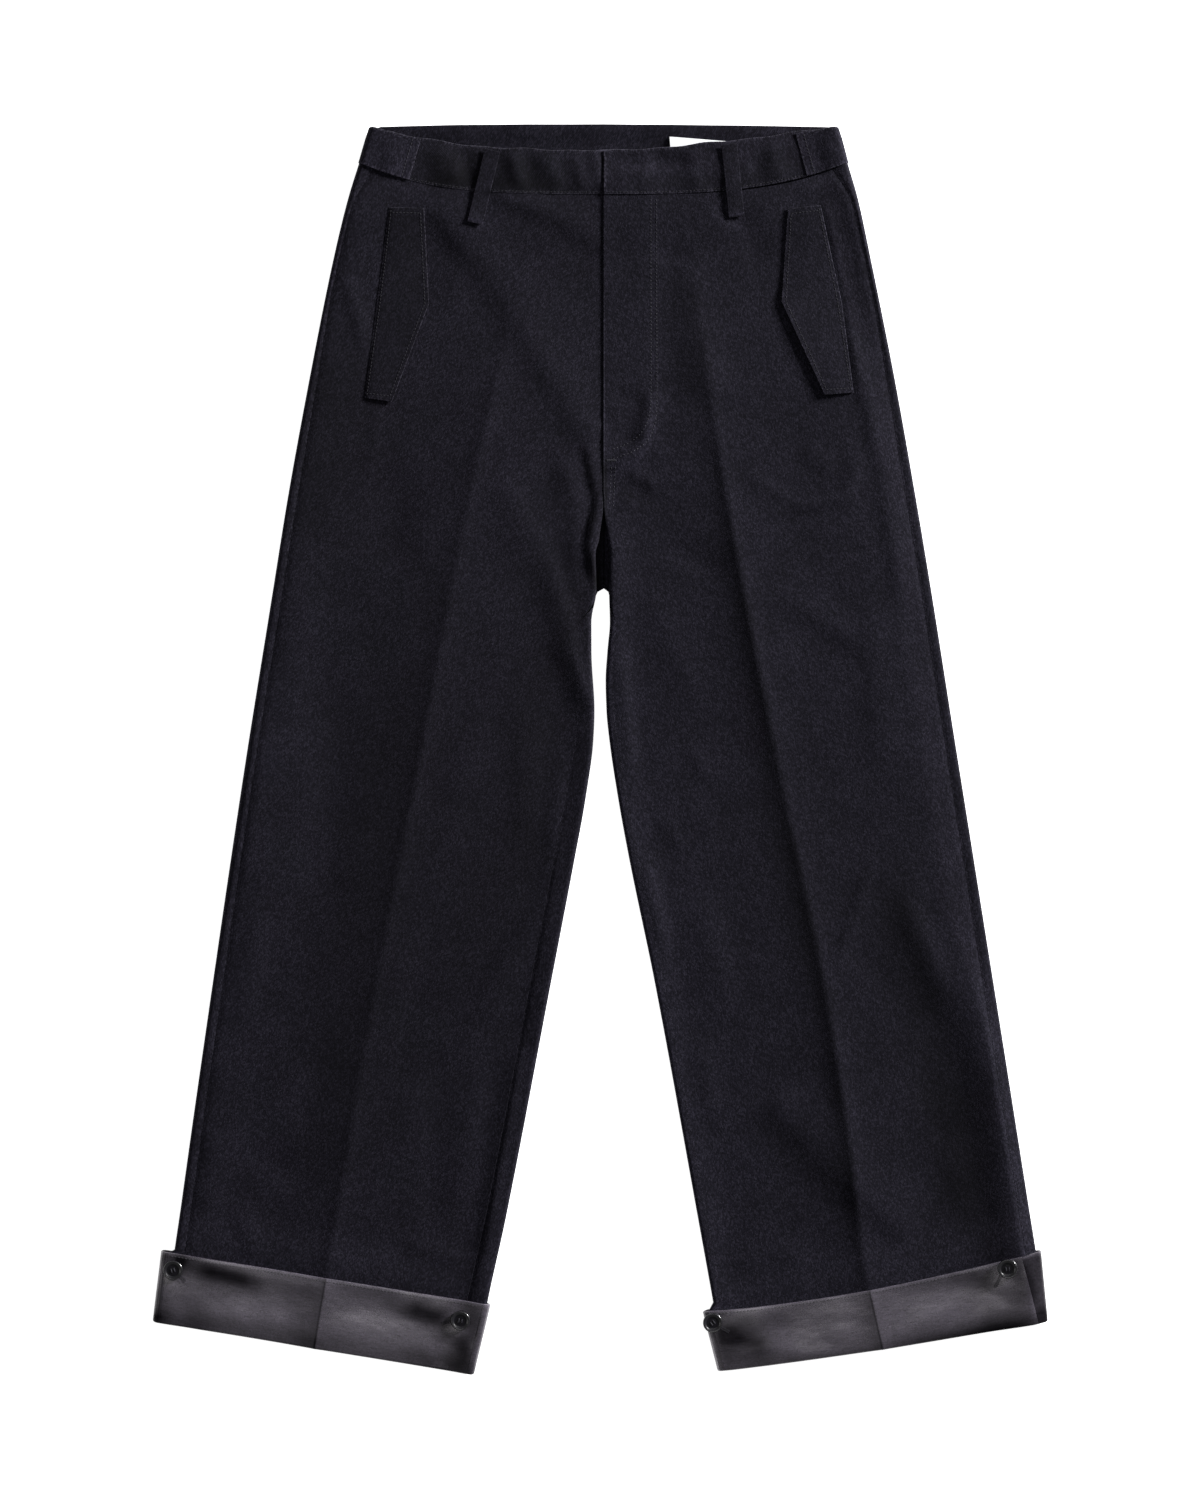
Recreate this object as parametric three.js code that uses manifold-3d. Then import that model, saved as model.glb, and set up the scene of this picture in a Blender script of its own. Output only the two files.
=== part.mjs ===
// Denim trousers with a lapped fly, slanted hip flaps and buttoned turn-ups, laid flat with the front up.
// Millimetres. +Z is up from the table, +Y runs to the waist, +X to the wearer's left.
// The origin is on the table, under the middle of the garment's outline.
// Places on the garment are given as x, the distance from the centre line, and down, the distance
// from the back waist edge. Every cloth piece is a thin wall whose outer face is worked out from these.
import * as THREE from "three";
import { mergeVertices } from "three/addons/utils/BufferGeometryUtils.js";
import Module from "manifold-3d";

const LENGTH = 1039; // back waist edge to the lowest fold of the turn-ups
const CENTRE_X = 3.3; // the centre line stands this far right of the outline's middle
const CLOTH = 1.2; // heavy denim, one layer
const BAND_CLOTH = 1.8; // waistband, two layers pressed together
const CUFF_CLOTH = 1.4; // denim with a satin facing
const FLAP_CLOTH = 2.0; // hip flap, two layers
const LABEL_CLOTH = 1.0;
const SEAM_GAP = 0.3; // between pieces that are sewn together
const WAIST_GAP = 0.6; // where the joined edges curve
const LAID_GAP = 0.6; // under a piece that is laid on another

// How the two layers lie on each other
const VALLEY = 3.4; // top of the front layer above the underside of the back layer, where they touch most
const EDGE_RISE = 2.1; // extra height where the cloth folds round at the sides
const EDGE_REACH = 16;
const RIDGE_RISE = 2.6; // the pressed crease down the front of each leg
const RIDGE_OUT = 36; // how far the ridge fades towards the side seam
const RIDGE_IN = 30; // and towards the inseam
const WAIST_PUFF = 2.0; // the waist stands open a little
const BAND_PROUD = 0.6; // the waistband over the panels, for the seam allowance inside it
const LOOP_LIFT = CLOTH + 0.5; // the back waist rests on the belt loops under it
const CUFF_STAND = 2.5; // outer face of the turn-up over the outer face of the leg
const CUFF_TURN = 2.4; // between the middles of the turn-up's two layers
const CUFF_TUCK = 8; // inner layer of the turn-up, above its fold
const TUCK_GAP = 0.8;

const BAND_END = { down: 2.5, seam: 32.5 }; // waistband's top and bottom at the side folds
const BACK_BAND_SEAM = 38.3;
const WAIST = {
  right: { seamDown: 58.5, seamBend: 3.5, topDown: 22, topBend: 2.8 },
  left: { seamDown: 58.5, seamBend: 3.0, topDown: 23, topBend: 1.35 },
};

// Fly: the left front laps over the right front as far as the end of the opening
const FLY = { lap: 10, end: 262, panelRaise: 1.7, bandRaise: 2.3, full: 14, fade: 75, fadeFrom: 296, fadeTo: 335 };

// Outer edge of each leg, from the waist to the fold of the turn-up
const OUTER_EDGE = {
  right: [
    { down: 0, x: 193.5 },
    { down: 12, x: 197.5 },
    { down: 32, x: 203.5 },
    { down: 60, x: 212 },
    { down: 113, x: 225 },
    { down: 213, x: 245 },
    { down: 312, x: 263 },
    { down: 387, x: 275 },
    { down: 512, x: 295 },
    { down: 611, x: 310 },
    { down: 810, x: 339 },
    { down: 935, x: 356.5 },
    { down: 1040, x: 371 },
  ],
  left: [
    { down: 0, x: 193 },
    { down: 12, x: 197 },
    { down: 32, x: 202.5 },
    { down: 60, x: 210.5 },
    { down: 113, x: 222 },
    { down: 213, x: 242 },
    { down: 312, x: 259.5 },
    { down: 387, x: 272 },
    { down: 512, x: 291.7 },
    { down: 611, x: 307.5 },
    { down: 810, x: 339 },
    { down: 935, x: 358.5 },
    { down: 1040, x: 374 },
  ],
};

// Inner edge of each leg. Above the fork the two fronts meet on the centre line
const INNER_EDGE = {
  right: [
    { down: 0, x: 0.15 },
    { down: 305, x: 0.15 },
    { down: 333, x: 3.2 },
    { down: 350, x: 7 },
    { down: 386, x: 6.2 },
    { down: 413, x: 10.4 },
    { down: 437, x: 10.4 },
    { down: 487, x: 7.9 },
    { down: 512, x: 8.9 },
    { down: 561, x: 15.4 },
    { down: 611, x: 24.5 },
    { down: 711, x: 43.6 },
    { down: 910, x: 81.8 },
    { down: 980, x: 97 },
    { down: 1045, x: 108 },
  ],
  left: [
    { down: 0, x: 0.15 },
    { down: 305, x: 0.15 },
    { down: 333, x: 3.2 },
    { down: 350, x: 6.2 },
    { down: 386, x: 5.6 },
    { down: 413, x: 5.4 },
    { down: 437, x: 2.9 },
    { down: 462, x: 1.4 },
    { down: 487, x: 2.1 },
    { down: 512, x: 4.6 },
    { down: 561, x: 12 },
    { down: 611, x: 21.2 },
    { down: 711, x: 41.9 },
    { down: 910, x: 78.4 },
    { down: 980, x: 91 },
    { down: 1045, x: 102 },
  ],
};

const CREASE = {
  right: [
    { down: 0, x: 48 },
    { down: 85, x: 61 },
    { down: 188, x: 84 },
    { down: 296, x: 108.5 },
    { down: 561, x: 159 },
    { down: 719, x: 189.7 },
    { down: 952, x: 229.5 },
    { down: 1010, x: 239.5 },
    { down: 1045, x: 245 },
  ],
  left: [
    { down: 0, x: 58 },
    { down: 116, x: 73.5 },
    { down: 182, x: 82.6 },
    { down: 312, x: 102.5 },
    { down: 561, x: 150.6 },
    { down: 719, x: 183.8 },
    { down: 852, x: 204.6 },
    { down: 943, x: 215.4 },
    { down: 1010, x: 229.5 },
    { down: 1045, x: 237 },
  ],
};
const CREASE_START = 100; // the ridge grows from here
const CREASE_FULL = 300;

// How far the side seam lies inside the outer edge, on the front face
const SIDE_SEAM = [
  { down: 32, x: 13 },
  { down: 70, x: 5.5 },
  { down: 130, x: 5 },
  { down: 220, x: 7.5 },
  { down: 300, x: 8.5 },
  { down: 1045, x: 9.5 },
];
const INSEAM_INSET = { right: 17, left: 8 };

// One row for each line of points across a leg. The front roll and the back wrap are in degrees
// round the fold at the inner edge, and inset is a share of the leg's own inseam inset.
const LEG_ROWS = [
  { at: "waist seam", outer: 32.5, inner: 58.5, back: 38.3, bend: 3.5, roll: 0, wrap: 0, inset: 0 },
  { at: "below the waist", outer: 54, inner: 78, back: 60, bend: 2.8, roll: 0, wrap: 0, inset: 0 },
  { at: "flap top", outer: 84, inner: 104, back: 92, bend: 2, roll: 0, wrap: 0, inset: 0 },
  { at: "flap shoulder", outer: 106, inner: 122, back: 112, bend: 1.7, roll: 0, wrap: 0, inset: 0 },
  { at: "flap", outer: 132, inner: 142, back: 133, bend: 1.4, roll: 0, wrap: 0, inset: 0 },
  { at: "flap foot", outer: 196, inner: 202, back: 200, bend: 1, roll: 0, wrap: 0, inset: 0 },
  { at: "fly end", outer: 258, inner: 262, back: 262, bend: 1, roll: 0, wrap: 0, inset: 0 },
  { at: "seat", outer: 300, inner: 304, back: 304, bend: 1, roll: 0, wrap: 0, inset: 0 },
  { at: "fork top", outer: 328, inner: 332, back: 332, bend: 1, roll: 45, wrap: 0, inset: 0 },
  { at: "fork", outer: 346, inner: 350, back: 350, bend: 1, roll: 115, wrap: 0, inset: 0 },
  { at: "crotch", outer: 380, inner: 385, back: 385, bend: 1, roll: 115, wrap: 0, inset: 0 },
  { at: "under the crotch", outer: 386, inner: 391, back: 391, bend: 1, roll: 72, wrap: 80, inset: 0 },
  { at: "inseam start", outer: 395, inner: 401, back: 401, bend: 1, roll: 26, wrap: 122, inset: 0 },
  { at: "thigh top", outer: 406, inner: 415, back: 415, bend: 1, roll: 0, wrap: 180, inset: 0.65 },
  { at: "thigh", outer: 452, inner: 462, back: 462, bend: 1, roll: 0, wrap: 180, inset: 0.75 },
  { at: "low thigh", outer: 500, inner: 512, back: 512, bend: 1, roll: 0, wrap: 180, inset: 0.9 },
  { at: "over the knee", outer: 548, inner: 563, back: 563, bend: 1, roll: 0, wrap: 180, inset: 1 },
  { at: "knee", outer: 615, inner: 634, back: 634, bend: 1, roll: 0, wrap: 180, inset: 1 },
  { at: "calf", outer: 700, inner: 724, back: 724, bend: 1, roll: 0, wrap: 180, inset: 1 },
  { at: "low calf", outer: 785, inner: 814, back: 814, bend: 1, roll: 0, wrap: 180, inset: 1 },
  { at: "shin", outer: 860, inner: 894, back: 894, bend: 1, roll: 0, wrap: 180, inset: 1 },
  { at: "over the turn-up", outer: 908, inner: 948, back: 948, bend: 1, roll: 0, wrap: 180, inset: 1 },
  { at: "turn-up top", outer: 934, inner: 978, back: 978, bend: 1, roll: 0, wrap: 180, inset: 1 },
];
const FORK_ROLL_RADIUS = 2.2;

// Turn-ups: the corners of the outer layer, and how far in its seams lie on the front face
const CUFF = {
  right: {
    top: { outer: 367.5, outerDown: 935, inner: 94, innerDown: 980, bend: 1 },
    fold: { outer: 374.5, outerDown: 992, inner: 107.5, innerDown: 1036.5, bend: 1 },
    height: 57,
    seamOuter: 6.5,
    seamInner: 6.5,
  },
  left: {
    top: { outer: 363, outerDown: 935, inner: 82, innerDown: 985, bend: 1.5 },
    fold: { outer: 368.5, outerDown: 992, inner: 94, innerDown: 1033, bend: 1.2 },
    height: 55,
    seamOuter: 11,
    seamInner: 6.5,
  },
};

// The largest soft folds in the front layer: x is signed, to the wearer's left
const FOLDS = [
  { name: "hollow inside the left side seam", from: [312, 790], to: [334, 930], width: 17, height: -0.9 },
  { name: "swell on the left side seam", from: [300, 560], to: [341, 900], width: 11, height: 1.1 },
  { name: "break above the left turn-up", from: [138, 836], to: [196, 905], width: 12, height: -1.0 },
  { name: "hollow along the right inseam", from: [-34, 470], to: [-106, 900], width: 12, height: -0.8 },
  { name: "drag from the right flap", from: [-140, 80], to: [-104, 150], width: 14, height: -1.0 },
  { name: "pull below the right loop", from: [-88, 68], to: [-20, 110], width: 12, height: 0.9 },
  { name: "fold beside the crotch", from: [-13, 290], to: [-17, 365], width: 5, height: -0.9 },
  { name: "swell over the left pocket", from: [125, 320], to: [190, 318], width: 10, height: 0.8 },
];

const FLAP = {
  right: {
    outer: [
      { down: 69.8, x: 178 },
      { down: 149, x: 188.5 },
      { down: 227, x: 198.4 },
    ],
    inner: [
      { down: 70.4, x: 149.5 },
      { down: 149, x: 145.7 },
      { down: 230.3, x: 176.4 },
    ],
    lift: 1.0,
  },
  left: {
    outer: [
      { down: 67.9, x: 179.4 },
      { down: 147.3, x: 197 },
      { down: 222.9, x: 206.7 },
    ],
    inner: [
      { down: 71, x: 152.7 },
      { down: 147.3, x: 147.6 },
      { down: 224.8, x: 183.2 },
    ],
    lift: 2.2,
  },
};

const LOOP = { width: 12.5, gap: 1.5, steps: 8 };
const FRONT_LOOPS = [
  { name: "belt_loop_front_right", top: [-92.5, 22.5], foot: [-107, 82.5] },
  { name: "belt_loop_front_left", top: [103.8, 17.5], foot: [110, 77] },
];
const BACK_LOOPS = [
  { name: "belt_loop_back_right", x: -105 },
  { name: "belt_loop_back_centre", x: 0 },
  { name: "belt_loop_back_left", x: 105 },
];
const BACK_LOOP_SPAN = [3, 63];

const TAB = {
  right: { topEnd: 151.5, footEnd: 161.4 },
  left: { topEnd: 158.6, footEnd: 168.3 },
  under: 14, // how far it goes under the back waistband
  seam: 15, // the waistband's own side seam, hidden by the tab
};

const LABEL = { x: 54.4, down: 10.4, width: 58, height: 22, tilt: 0.08 };

const BUTTON = { radius: 7.6, thickness: 2.8, hole: 0.85, holeOff: 1.9, stand: 0.7, segments: 20 };
const BUTTONS = [
  { name: "button_right_outer", at: [-356.9, 950.4] },
  { name: "button_right_inner", at: [-119, 992.3] },
  { name: "button_left_inner", at: [90.1, 994] },
  { name: "button_left_outer", at: [334.1, 949] },
];

const SIGN = { right: -1, left: 1 };
const sideOf = (x) => (x < 0 ? "right" : "left");
const lerp = THREE.MathUtils.lerp;
const smooth = (value, from, to) => THREE.MathUtils.smoothstep(value, from, to);
const bell = (t) => Math.exp(-t * t);

// A smooth curve x(down) through the rows of a table, with no overshoot between them.
function curveThrough(rows) {
  const slope = (k) => (rows[k + 1].x - rows[k].x) / (rows[k + 1].down - rows[k].down);
  const last = rows.length - 1;
  const tangents = rows.map((_, k) => {
    if (k === 0) return slope(0);
    if (k === last) return slope(last - 1);
    const before = slope(k - 1);
    const after = slope(k);
    return before * after <= 0 ? 0 : (2 * before * after) / (before + after);
  });
  return (down) => {
    if (down <= rows[0].down) return rows[0].x + tangents[0] * (down - rows[0].down);
    if (down >= rows[last].down) return rows[last].x + tangents[last] * (down - rows[last].down);
    const k = rows.findIndex((row, n) => down < rows[n + 1].down);
    const run = rows[k + 1].down - rows[k].down;
    const t = (down - rows[k].down) / run;
    const rise = rows[k + 1].x - rows[k].x;
    const bendIn = run * tangents[k] * t * (1 - t) ** 2;
    const bendOut = run * tangents[k + 1] * t * t * (t - 1);
    return rows[k].x + rise * t * t * (3 - 2 * t) + bendIn + bendOut;
  };
}

const bySide = (make) => ({ right: make("right"), left: make("left") });
const outerAt = bySide((side) => curveThrough(OUTER_EDGE[side]));
const innerAt = bySide((side) => curveThrough(INNER_EDGE[side]));
const creaseAt = bySide((side) => curveThrough(CREASE[side]));
const sideSeamAt = curveThrough(SIDE_SEAM);

// Where the turn-up's top edge crosses a leg at this distance from the centre line.
function cuffTopDown(side, x) {
  const top = CUFF[side].top;
  const share = THREE.MathUtils.clamp((x - top.inner) / (top.outer - top.inner), 0, 1);
  return top.innerDown - (top.innerDown - top.outerDown) * share ** top.bend;
}

// Height of the back layer's underside: it rests on the table, on the loops and on the turn-ups.
function floorHeight(x, down) {
  const overLoops = LOOP_LIFT * (1 - smooth(down, 68, 112));
  const aboveCuff = cuffTopDown(sideOf(x), Math.abs(x)) - down;
  return overLoops + CUFF_STAND * (1 - smooth(aboveCuff, 4, 42));
}

// Height that a soft fold adds at a place: full along its line, fading to both sides and at its ends.
function foldHeight(fold, x, down) {
  const [x1, down1] = fold.from;
  const [x2, down2] = fold.to;
  const run = (x2 - x1) ** 2 + (down2 - down1) ** 2;
  const share = ((x - x1) * (x2 - x1) + (down - down1) * (down2 - down1)) / run;
  const t = THREE.MathUtils.clamp(share, 0, 1);
  const away = Math.hypot(x - lerp(x1, x2, t), down - lerp(down1, down2, t));
  return fold.height * bell(away / fold.width) * smooth(Math.min(t, 1 - t), -0.25, 0.25);
}

function creaseRidge(side, away, down) {
  const grown = smooth(down, CREASE_START, CREASE_FULL);
  return RIDGE_RISE * grown * Math.exp(-Math.abs(away) / (away > 0 ? RIDGE_OUT : RIDGE_IN));
}

// Height of the front layer's outer face, before the fly's lap.
function frontHeight(x, down) {
  const side = sideOf(x);
  const inFromOuter = Math.max(0, outerAt[side](down) - Math.abs(x));
  const inFromInner = Math.max(0, Math.abs(x) - innerAt[side](down));
  const parted = smooth(down, 318, 352);
  return (
    floorHeight(x, down) +
    VALLEY +
    WAIST_PUFF * (1 - smooth(down, 50, 150)) +
    EDGE_RISE * bell(inFromOuter / EDGE_REACH) +
    EDGE_RISE * parted * bell(inFromInner / EDGE_REACH) +
    creaseRidge(side, Math.abs(x) - creaseAt[side](down), down) +
    FOLDS.reduce((sum, fold) => sum + foldHeight(fold, x, down), 0)
  );
}

// The left front is lifted beside the fly, where it lies over the right one.
function lapHeight(x, down, raise) {
  const across = 1 - smooth(x, FLY.full, FLY.fade);
  return raise * across * (1 - smooth(down, FLY.fadeFrom, FLY.fadeTo));
}

const panelHeight = (side) => (x, down) =>
  frontHeight(x, down) + (side === "left" ? lapHeight(x, down, FLY.panelRaise) : 0);
const bandHeight = (side) => (x, down) =>
  frontHeight(x, down) + BAND_PROUD + (side === "left" ? lapHeight(x, down, FLY.bandRaise) : 0);
const cuffHeight = (x, down) => frontHeight(x, down) + CUFF_STAND;

const toPart = (side, place, z) => new THREE.Vector3(CENTRE_X + SIGN[side] * place.x, LENGTH / 2 - place.down, z);

// A line of points across one side of the garment. Its front face and back face can lie at
// different distances down, and they share the fold at the outer edge.
function makeRow(side, ends, heightAt, floorAt) {
  const { outer, inner, bend, back } = ends;
  const width = Math.hypot(outer.x - inner.x, outer.down - inner.down);
  const along = (s, innerDown) => {
    const share = Math.max(0, 1 - s / width);
    return {
      x: outer.x + ((inner.x - outer.x) * s) / width,
      down: innerDown - (innerDown - outer.down) * share ** bend,
    };
  };
  const frontPlace = (s) => along(s, inner.down);
  const backPlace = (s) => along(s, back);
  const heightOf = (s) => heightAt(SIGN[side] * frontPlace(s).x, frontPlace(s).down);
  const floorOf = (s) => floorAt(SIGN[side] * backPlace(s).x, backPlace(s).down);
  const outerRadius = (heightOf(3) - floorOf(3)) / 2;
  const innerRadius = (heightOf(width - 3) - floorOf(width - 3)) / 2;
  const outDirection = toPart(side, frontPlace(0), 0).sub(toPart(side, frontPlace(10), 0)).normalize();

  // Each of these gives a point on the outer face and the way that the face looks.
  const onFront = (s) => ({ point: toPart(side, frontPlace(s), heightOf(s)), out: new THREE.Vector3(0, 0, 1) });
  const onBack = (s) => ({ point: toPart(side, backPlace(s), floorOf(s)), out: new THREE.Vector3(0, 0, -1) });
  const roundFold = (centreS, topZ, radius, sign, degrees) => {
    const angle = THREE.MathUtils.degToRad(degrees);
    const out = outDirection.clone().multiplyScalar(sign * Math.sin(angle));
    out.z = Math.cos(angle);
    const centre = toPart(side, frontPlace(centreS), topZ - radius);
    return { point: centre.addScaledVector(out, radius), out };
  };
  const outerFold = (degrees) =>
    roundFold(outerRadius, floorOf(outerRadius) + 2 * outerRadius, outerRadius, 1, degrees);
  const innerFold = (degrees, radius = innerRadius) =>
    roundFold(width - radius, heightOf(width - 3), radius, -1, degrees);
  return { side, width, outerRadius, innerRadius, frontPlace, onFront, onBack, outerFold, innerFold, ...ends };
}

// The edges of a turn-up's outer layer at a height above its fold.
function cuffEnds(side, above) {
  const { top, fold, height } = CUFF[side];
  const share = above / height;
  const innerDown = lerp(fold.innerDown, top.innerDown, share);
  return {
    outer: { x: lerp(fold.outer, top.outer, share), down: lerp(fold.outerDown, top.outerDown, share) },
    inner: { x: lerp(fold.inner, top.inner, share), down: innerDown },
    back: innerDown,
    bend: lerp(fold.bend, top.bend, share),
  };
}

// The rows of one leg: those of the table, then two that run inside the turn-up to its hidden seam.
function legRows(side) {
  const open = LEG_ROWS.map((row, k) => {
    const waist = k === 0;
    const innerDown = waist ? WAIST[side].seamDown : row.inner;
    return {
      ...row,
      outer: { x: outerAt[side](row.outer), down: row.outer },
      inner: { x: innerAt[side](innerDown), down: innerDown },
      bend: waist ? WAIST[side].seamBend : row.bend,
    };
  });
  const tucked = [CUFF[side].height * 0.55, CUFF_TUCK + TUCK_GAP].map((above) => {
    const ends = cuffEnds(side, above);
    const slope = (ends.inner.down - ends.outer.down) / (ends.outer.x - ends.inner.x);
    ends.outer = { x: ends.outer.x - CUFF_STAND, down: ends.outer.down + CUFF_STAND * slope };
    ends.inner = { x: ends.inner.x + CUFF_STAND, down: ends.inner.down - CUFF_STAND * slope };
    ends.back = ends.inner.down;
    return { ...ends, at: "inside the turn-up", roll: 0, wrap: 180, inset: 1 };
  });
  return [...open, ...tucked].map((ends) => makeRow(side, ends, panelHeight(side), floorHeight));
}

const spread = (from, to, shares) => shares.map((share) => lerp(from, to, share));
const FROM_SEAM = [0.07, 0.17, 0.32, 0.55, 0.8, 1]; // closer together where the cloth bends most
const FROM_CREASE = [0.2, 0.45, 0.7, 0.86, 0.95, 1];
const stops = (from, to, count) => Array.from({ length: count }, (_, k) => lerp(from, to, (k + 1) / count));

// How far from the inner edge the inseam lies: clear of the fold.
const inseamStop = (row) => Math.max(row.innerRadius + 0.2, row.inset * INSEAM_INSET[row.side]);

// Distance along a row at which it crosses the leg's crease.
function creaseStop(row) {
  let s = row.width / 2;
  for (let k = 0; k < 4; k += 1) {
    const place = row.frontPlace(s);
    s += place.x - creaseAt[row.side](place.down);
  }
  return s;
}

// Where the front panel ends: past the centre line at the fly, at the centre line, or at the inseam.
function frontEnd(row) {
  if (row.wrap) return row.width - inseamStop(row);
  return row.width + (row.side === "right" && row.inner.down <= FLY.end ? FLY.lap : 0);
}

// Front panel: side seam, crease, then the fly, the rolled edge of the fork, or the inseam.
function frontPanelRow(row) {
  const start = sideSeamAt(row.outer.down);
  const crease = creaseStop(row);
  const radius = row.roll > 90 ? FORK_ROLL_RADIUS : row.innerRadius;
  const end = row.roll ? row.width - radius : frontEnd(row);
  const flatEnd = end - (row.roll ? 0 : 3);
  const flat = [start, ...spread(start, crease, FROM_SEAM), ...spread(crease, flatEnd, FROM_CREASE)].map(
    (s) => row.onFront(s).point,
  );
  const edge = row.roll
    ? stops(0, row.roll, 3).map((degrees) => row.innerFold(degrees, radius).point)
    : stops(flatEnd, end, 3).map((s) => row.onFront(s).point);
  return [...flat, ...edge];
}

// Back panel: from the side seam round the outer fold, along the table, and round the inner fold to the inseam.
function backPanelRow(row) {
  const { width, outerRadius, innerRadius } = row;
  const start = sideSeamAt(row.outer.down) - SEAM_GAP;
  const outer = [
    row.onFront(start),
    ...stops(start, outerRadius, 2).map(row.onFront),
    ...stops(0, 180, 5).map(row.outerFold),
  ];
  if (!row.wrap) {
    const centreS = width + row.inner.x - SEAM_GAP / 2;
    const flat = [...stops(outerRadius, centreS - 10, 6), ...stops(centreS - 10, centreS, 7)];
    return [...outer, ...flat.map(row.onBack)].map((stop) => stop.point);
  }
  const bottom = stops(outerRadius, width - innerRadius, 6).map(row.onBack);
  const seam = inseamStop(row) - SEAM_GAP;
  const inner =
    row.wrap < 180
      ? stops(180, 180 - row.wrap, 7).map((degrees) => row.innerFold(degrees))
      : [
          ...stops(180, 0, 5).map((degrees) => row.innerFold(degrees)),
          ...stops(width - innerRadius, width - seam, 2).map(row.onFront),
        ];
  return [...outer, ...bottom, ...inner].map((stop) => stop.point);
}

// The way that the cloth faces at each point of a grid, from its neighbours.
function gridNormal(grid, i, j) {
  const last = { row: grid.length - 1, column: grid[0].length - 1 };
  const down = grid[Math.min(i + 1, last.row)][j].clone().sub(grid[Math.max(i - 1, 0)][j]);
  const across = grid[i][Math.min(j + 1, last.column)].clone().sub(grid[i][Math.max(j - 1, 0)]);
  return across.cross(down).normalize();
}

// A closed wall of cloth. facing is 1 where across times down looks out of the wall, and -1 where it looks in.
// lift and sink are how far the two faces lie from the grid, outwards and inwards.
function wall(grid, facing, sink, lift = 0) {
  const rows = grid.length;
  const columns = grid[0].length;
  const face = (shift) =>
    grid.flatMap((line, i) =>
      line.map((point, j) => point.clone().addScaledVector(gridNormal(grid, i, j), shift * facing)),
    );
  const points = [...face(lift), ...face(-sink)];
  const inside = rows * columns;
  const at = (i, j) => i * columns + j;
  const quads = [];
  for (let i = 0; i < rows - 1; i += 1) {
    for (let j = 0; j < columns - 1; j += 1) {
      const cell = [at(i, j), at(i, j + 1), at(i + 1, j + 1), at(i + 1, j)];
      quads.push(cell, cell.map((k) => k + inside).reverse());
    }
  }
  const rim = [];
  for (let j = 0; j < columns; j += 1) rim.push(at(0, j));
  for (let i = 1; i < rows; i += 1) rim.push(at(i, columns - 1));
  for (let j = columns - 2; j >= 0; j -= 1) rim.push(at(rows - 1, j));
  for (let i = rows - 2; i > 0; i -= 1) rim.push(at(i, 0));
  rim.forEach((k, n) => {
    const next = rim[(n + 1) % rim.length];
    quads.push([next, k, k + inside, next + inside]);
  });
  const corners = quads.flatMap(([a, b, c, d]) => [a, b, c, a, c, d]);
  const geometry = new THREE.BufferGeometry().setFromPoints(points);
  geometry.setIndex(facing > 0 ? corners : corners.reverse());
  geometry.computeVertexNormals();
  return geometry;
}

function frontPanel(side, rows) {
  return wall(rows.map(frontPanelRow), SIGN[side], CLOTH);
}

function backPanel(side, rows) {
  return wall(rows.map(backPanelRow), -SIGN[side], CLOTH);
}

// One line across the waistband, at a share of its height up from the waist seam.
function bandRow(side, share) {
  const { seamDown, seamBend, topDown, topBend } = WAIST[side];
  const outerDown = lerp(BAND_END.seam - WAIST_GAP, BAND_END.down, share);
  return makeRow(
    side,
    {
      outer: { x: outerAt[side](outerDown), down: outerDown },
      inner: { x: SEAM_GAP / 2, down: lerp(seamDown - WAIST_GAP, topDown, share) },
      back: lerp(BACK_BAND_SEAM - WAIST_GAP, 0.4, share),
      bend: lerp(seamBend, topBend, share),
    },
    bandHeight(side),
    floorHeight,
  );
}

const BAND_SHARES = [0, 0.25, 0.5, 0.75, 1];

function frontBand(side) {
  const lines = BAND_SHARES.map((share) => {
    const row = bandRow(side, share);
    const end = row.width + (side === "right" ? FLY.lap : 0);
    const places = [TAB.seam, ...stops(TAB.seam, end - 12, 9), ...stops(end - 12, end, 2)];
    return places.map((s) => row.onFront(s).point);
  });
  return wall(lines, -SIGN[side], BAND_CLOTH);
}

function backBand() {
  const halfLine = (side, share) => {
    const row = bandRow(side, share);
    const start = TAB.seam - 0.5;
    return [
      row.onFront(start),
      ...stops(start, row.outerRadius, 2).map(row.onFront),
      ...stops(0, 180, 6).map(row.outerFold),
      ...stops(row.outerRadius, row.width + row.inner.x, 8).map(row.onBack),
    ].map((stop) => stop.point);
  };
  const lines = BAND_SHARES.map((share) => {
    const left = halfLine("left", share);
    left.pop();
    return [...halfLine("right", share), ...left.reverse()];
  });
  return wall(lines, SIGN.right, BAND_CLOTH);
}

// The tab at the end of the back waistband, wrapped round the side fold onto the front.
function sideTab(side) {
  const stand = CLOTH + LAID_GAP;
  const lines = BAND_SHARES.map((share) => {
    const row = bandRow(side, lerp(0.01, 0.97, share));
    const end = row.outer.x - lerp(TAB[side].footEnd, TAB[side].topEnd, share);
    const along = [
      row.onFront(end),
      ...stops(end, row.outerRadius, 4).map(row.onFront),
      ...stops(0, 180, 7).map(row.outerFold),
      ...stops(row.outerRadius, TAB.under, 2).map(row.onBack),
    ];
    return along.map(({ point, out }) => point.clone().addScaledVector(out, stand));
  });
  return wall(lines, SIGN[side], CLOTH);
}

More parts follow.
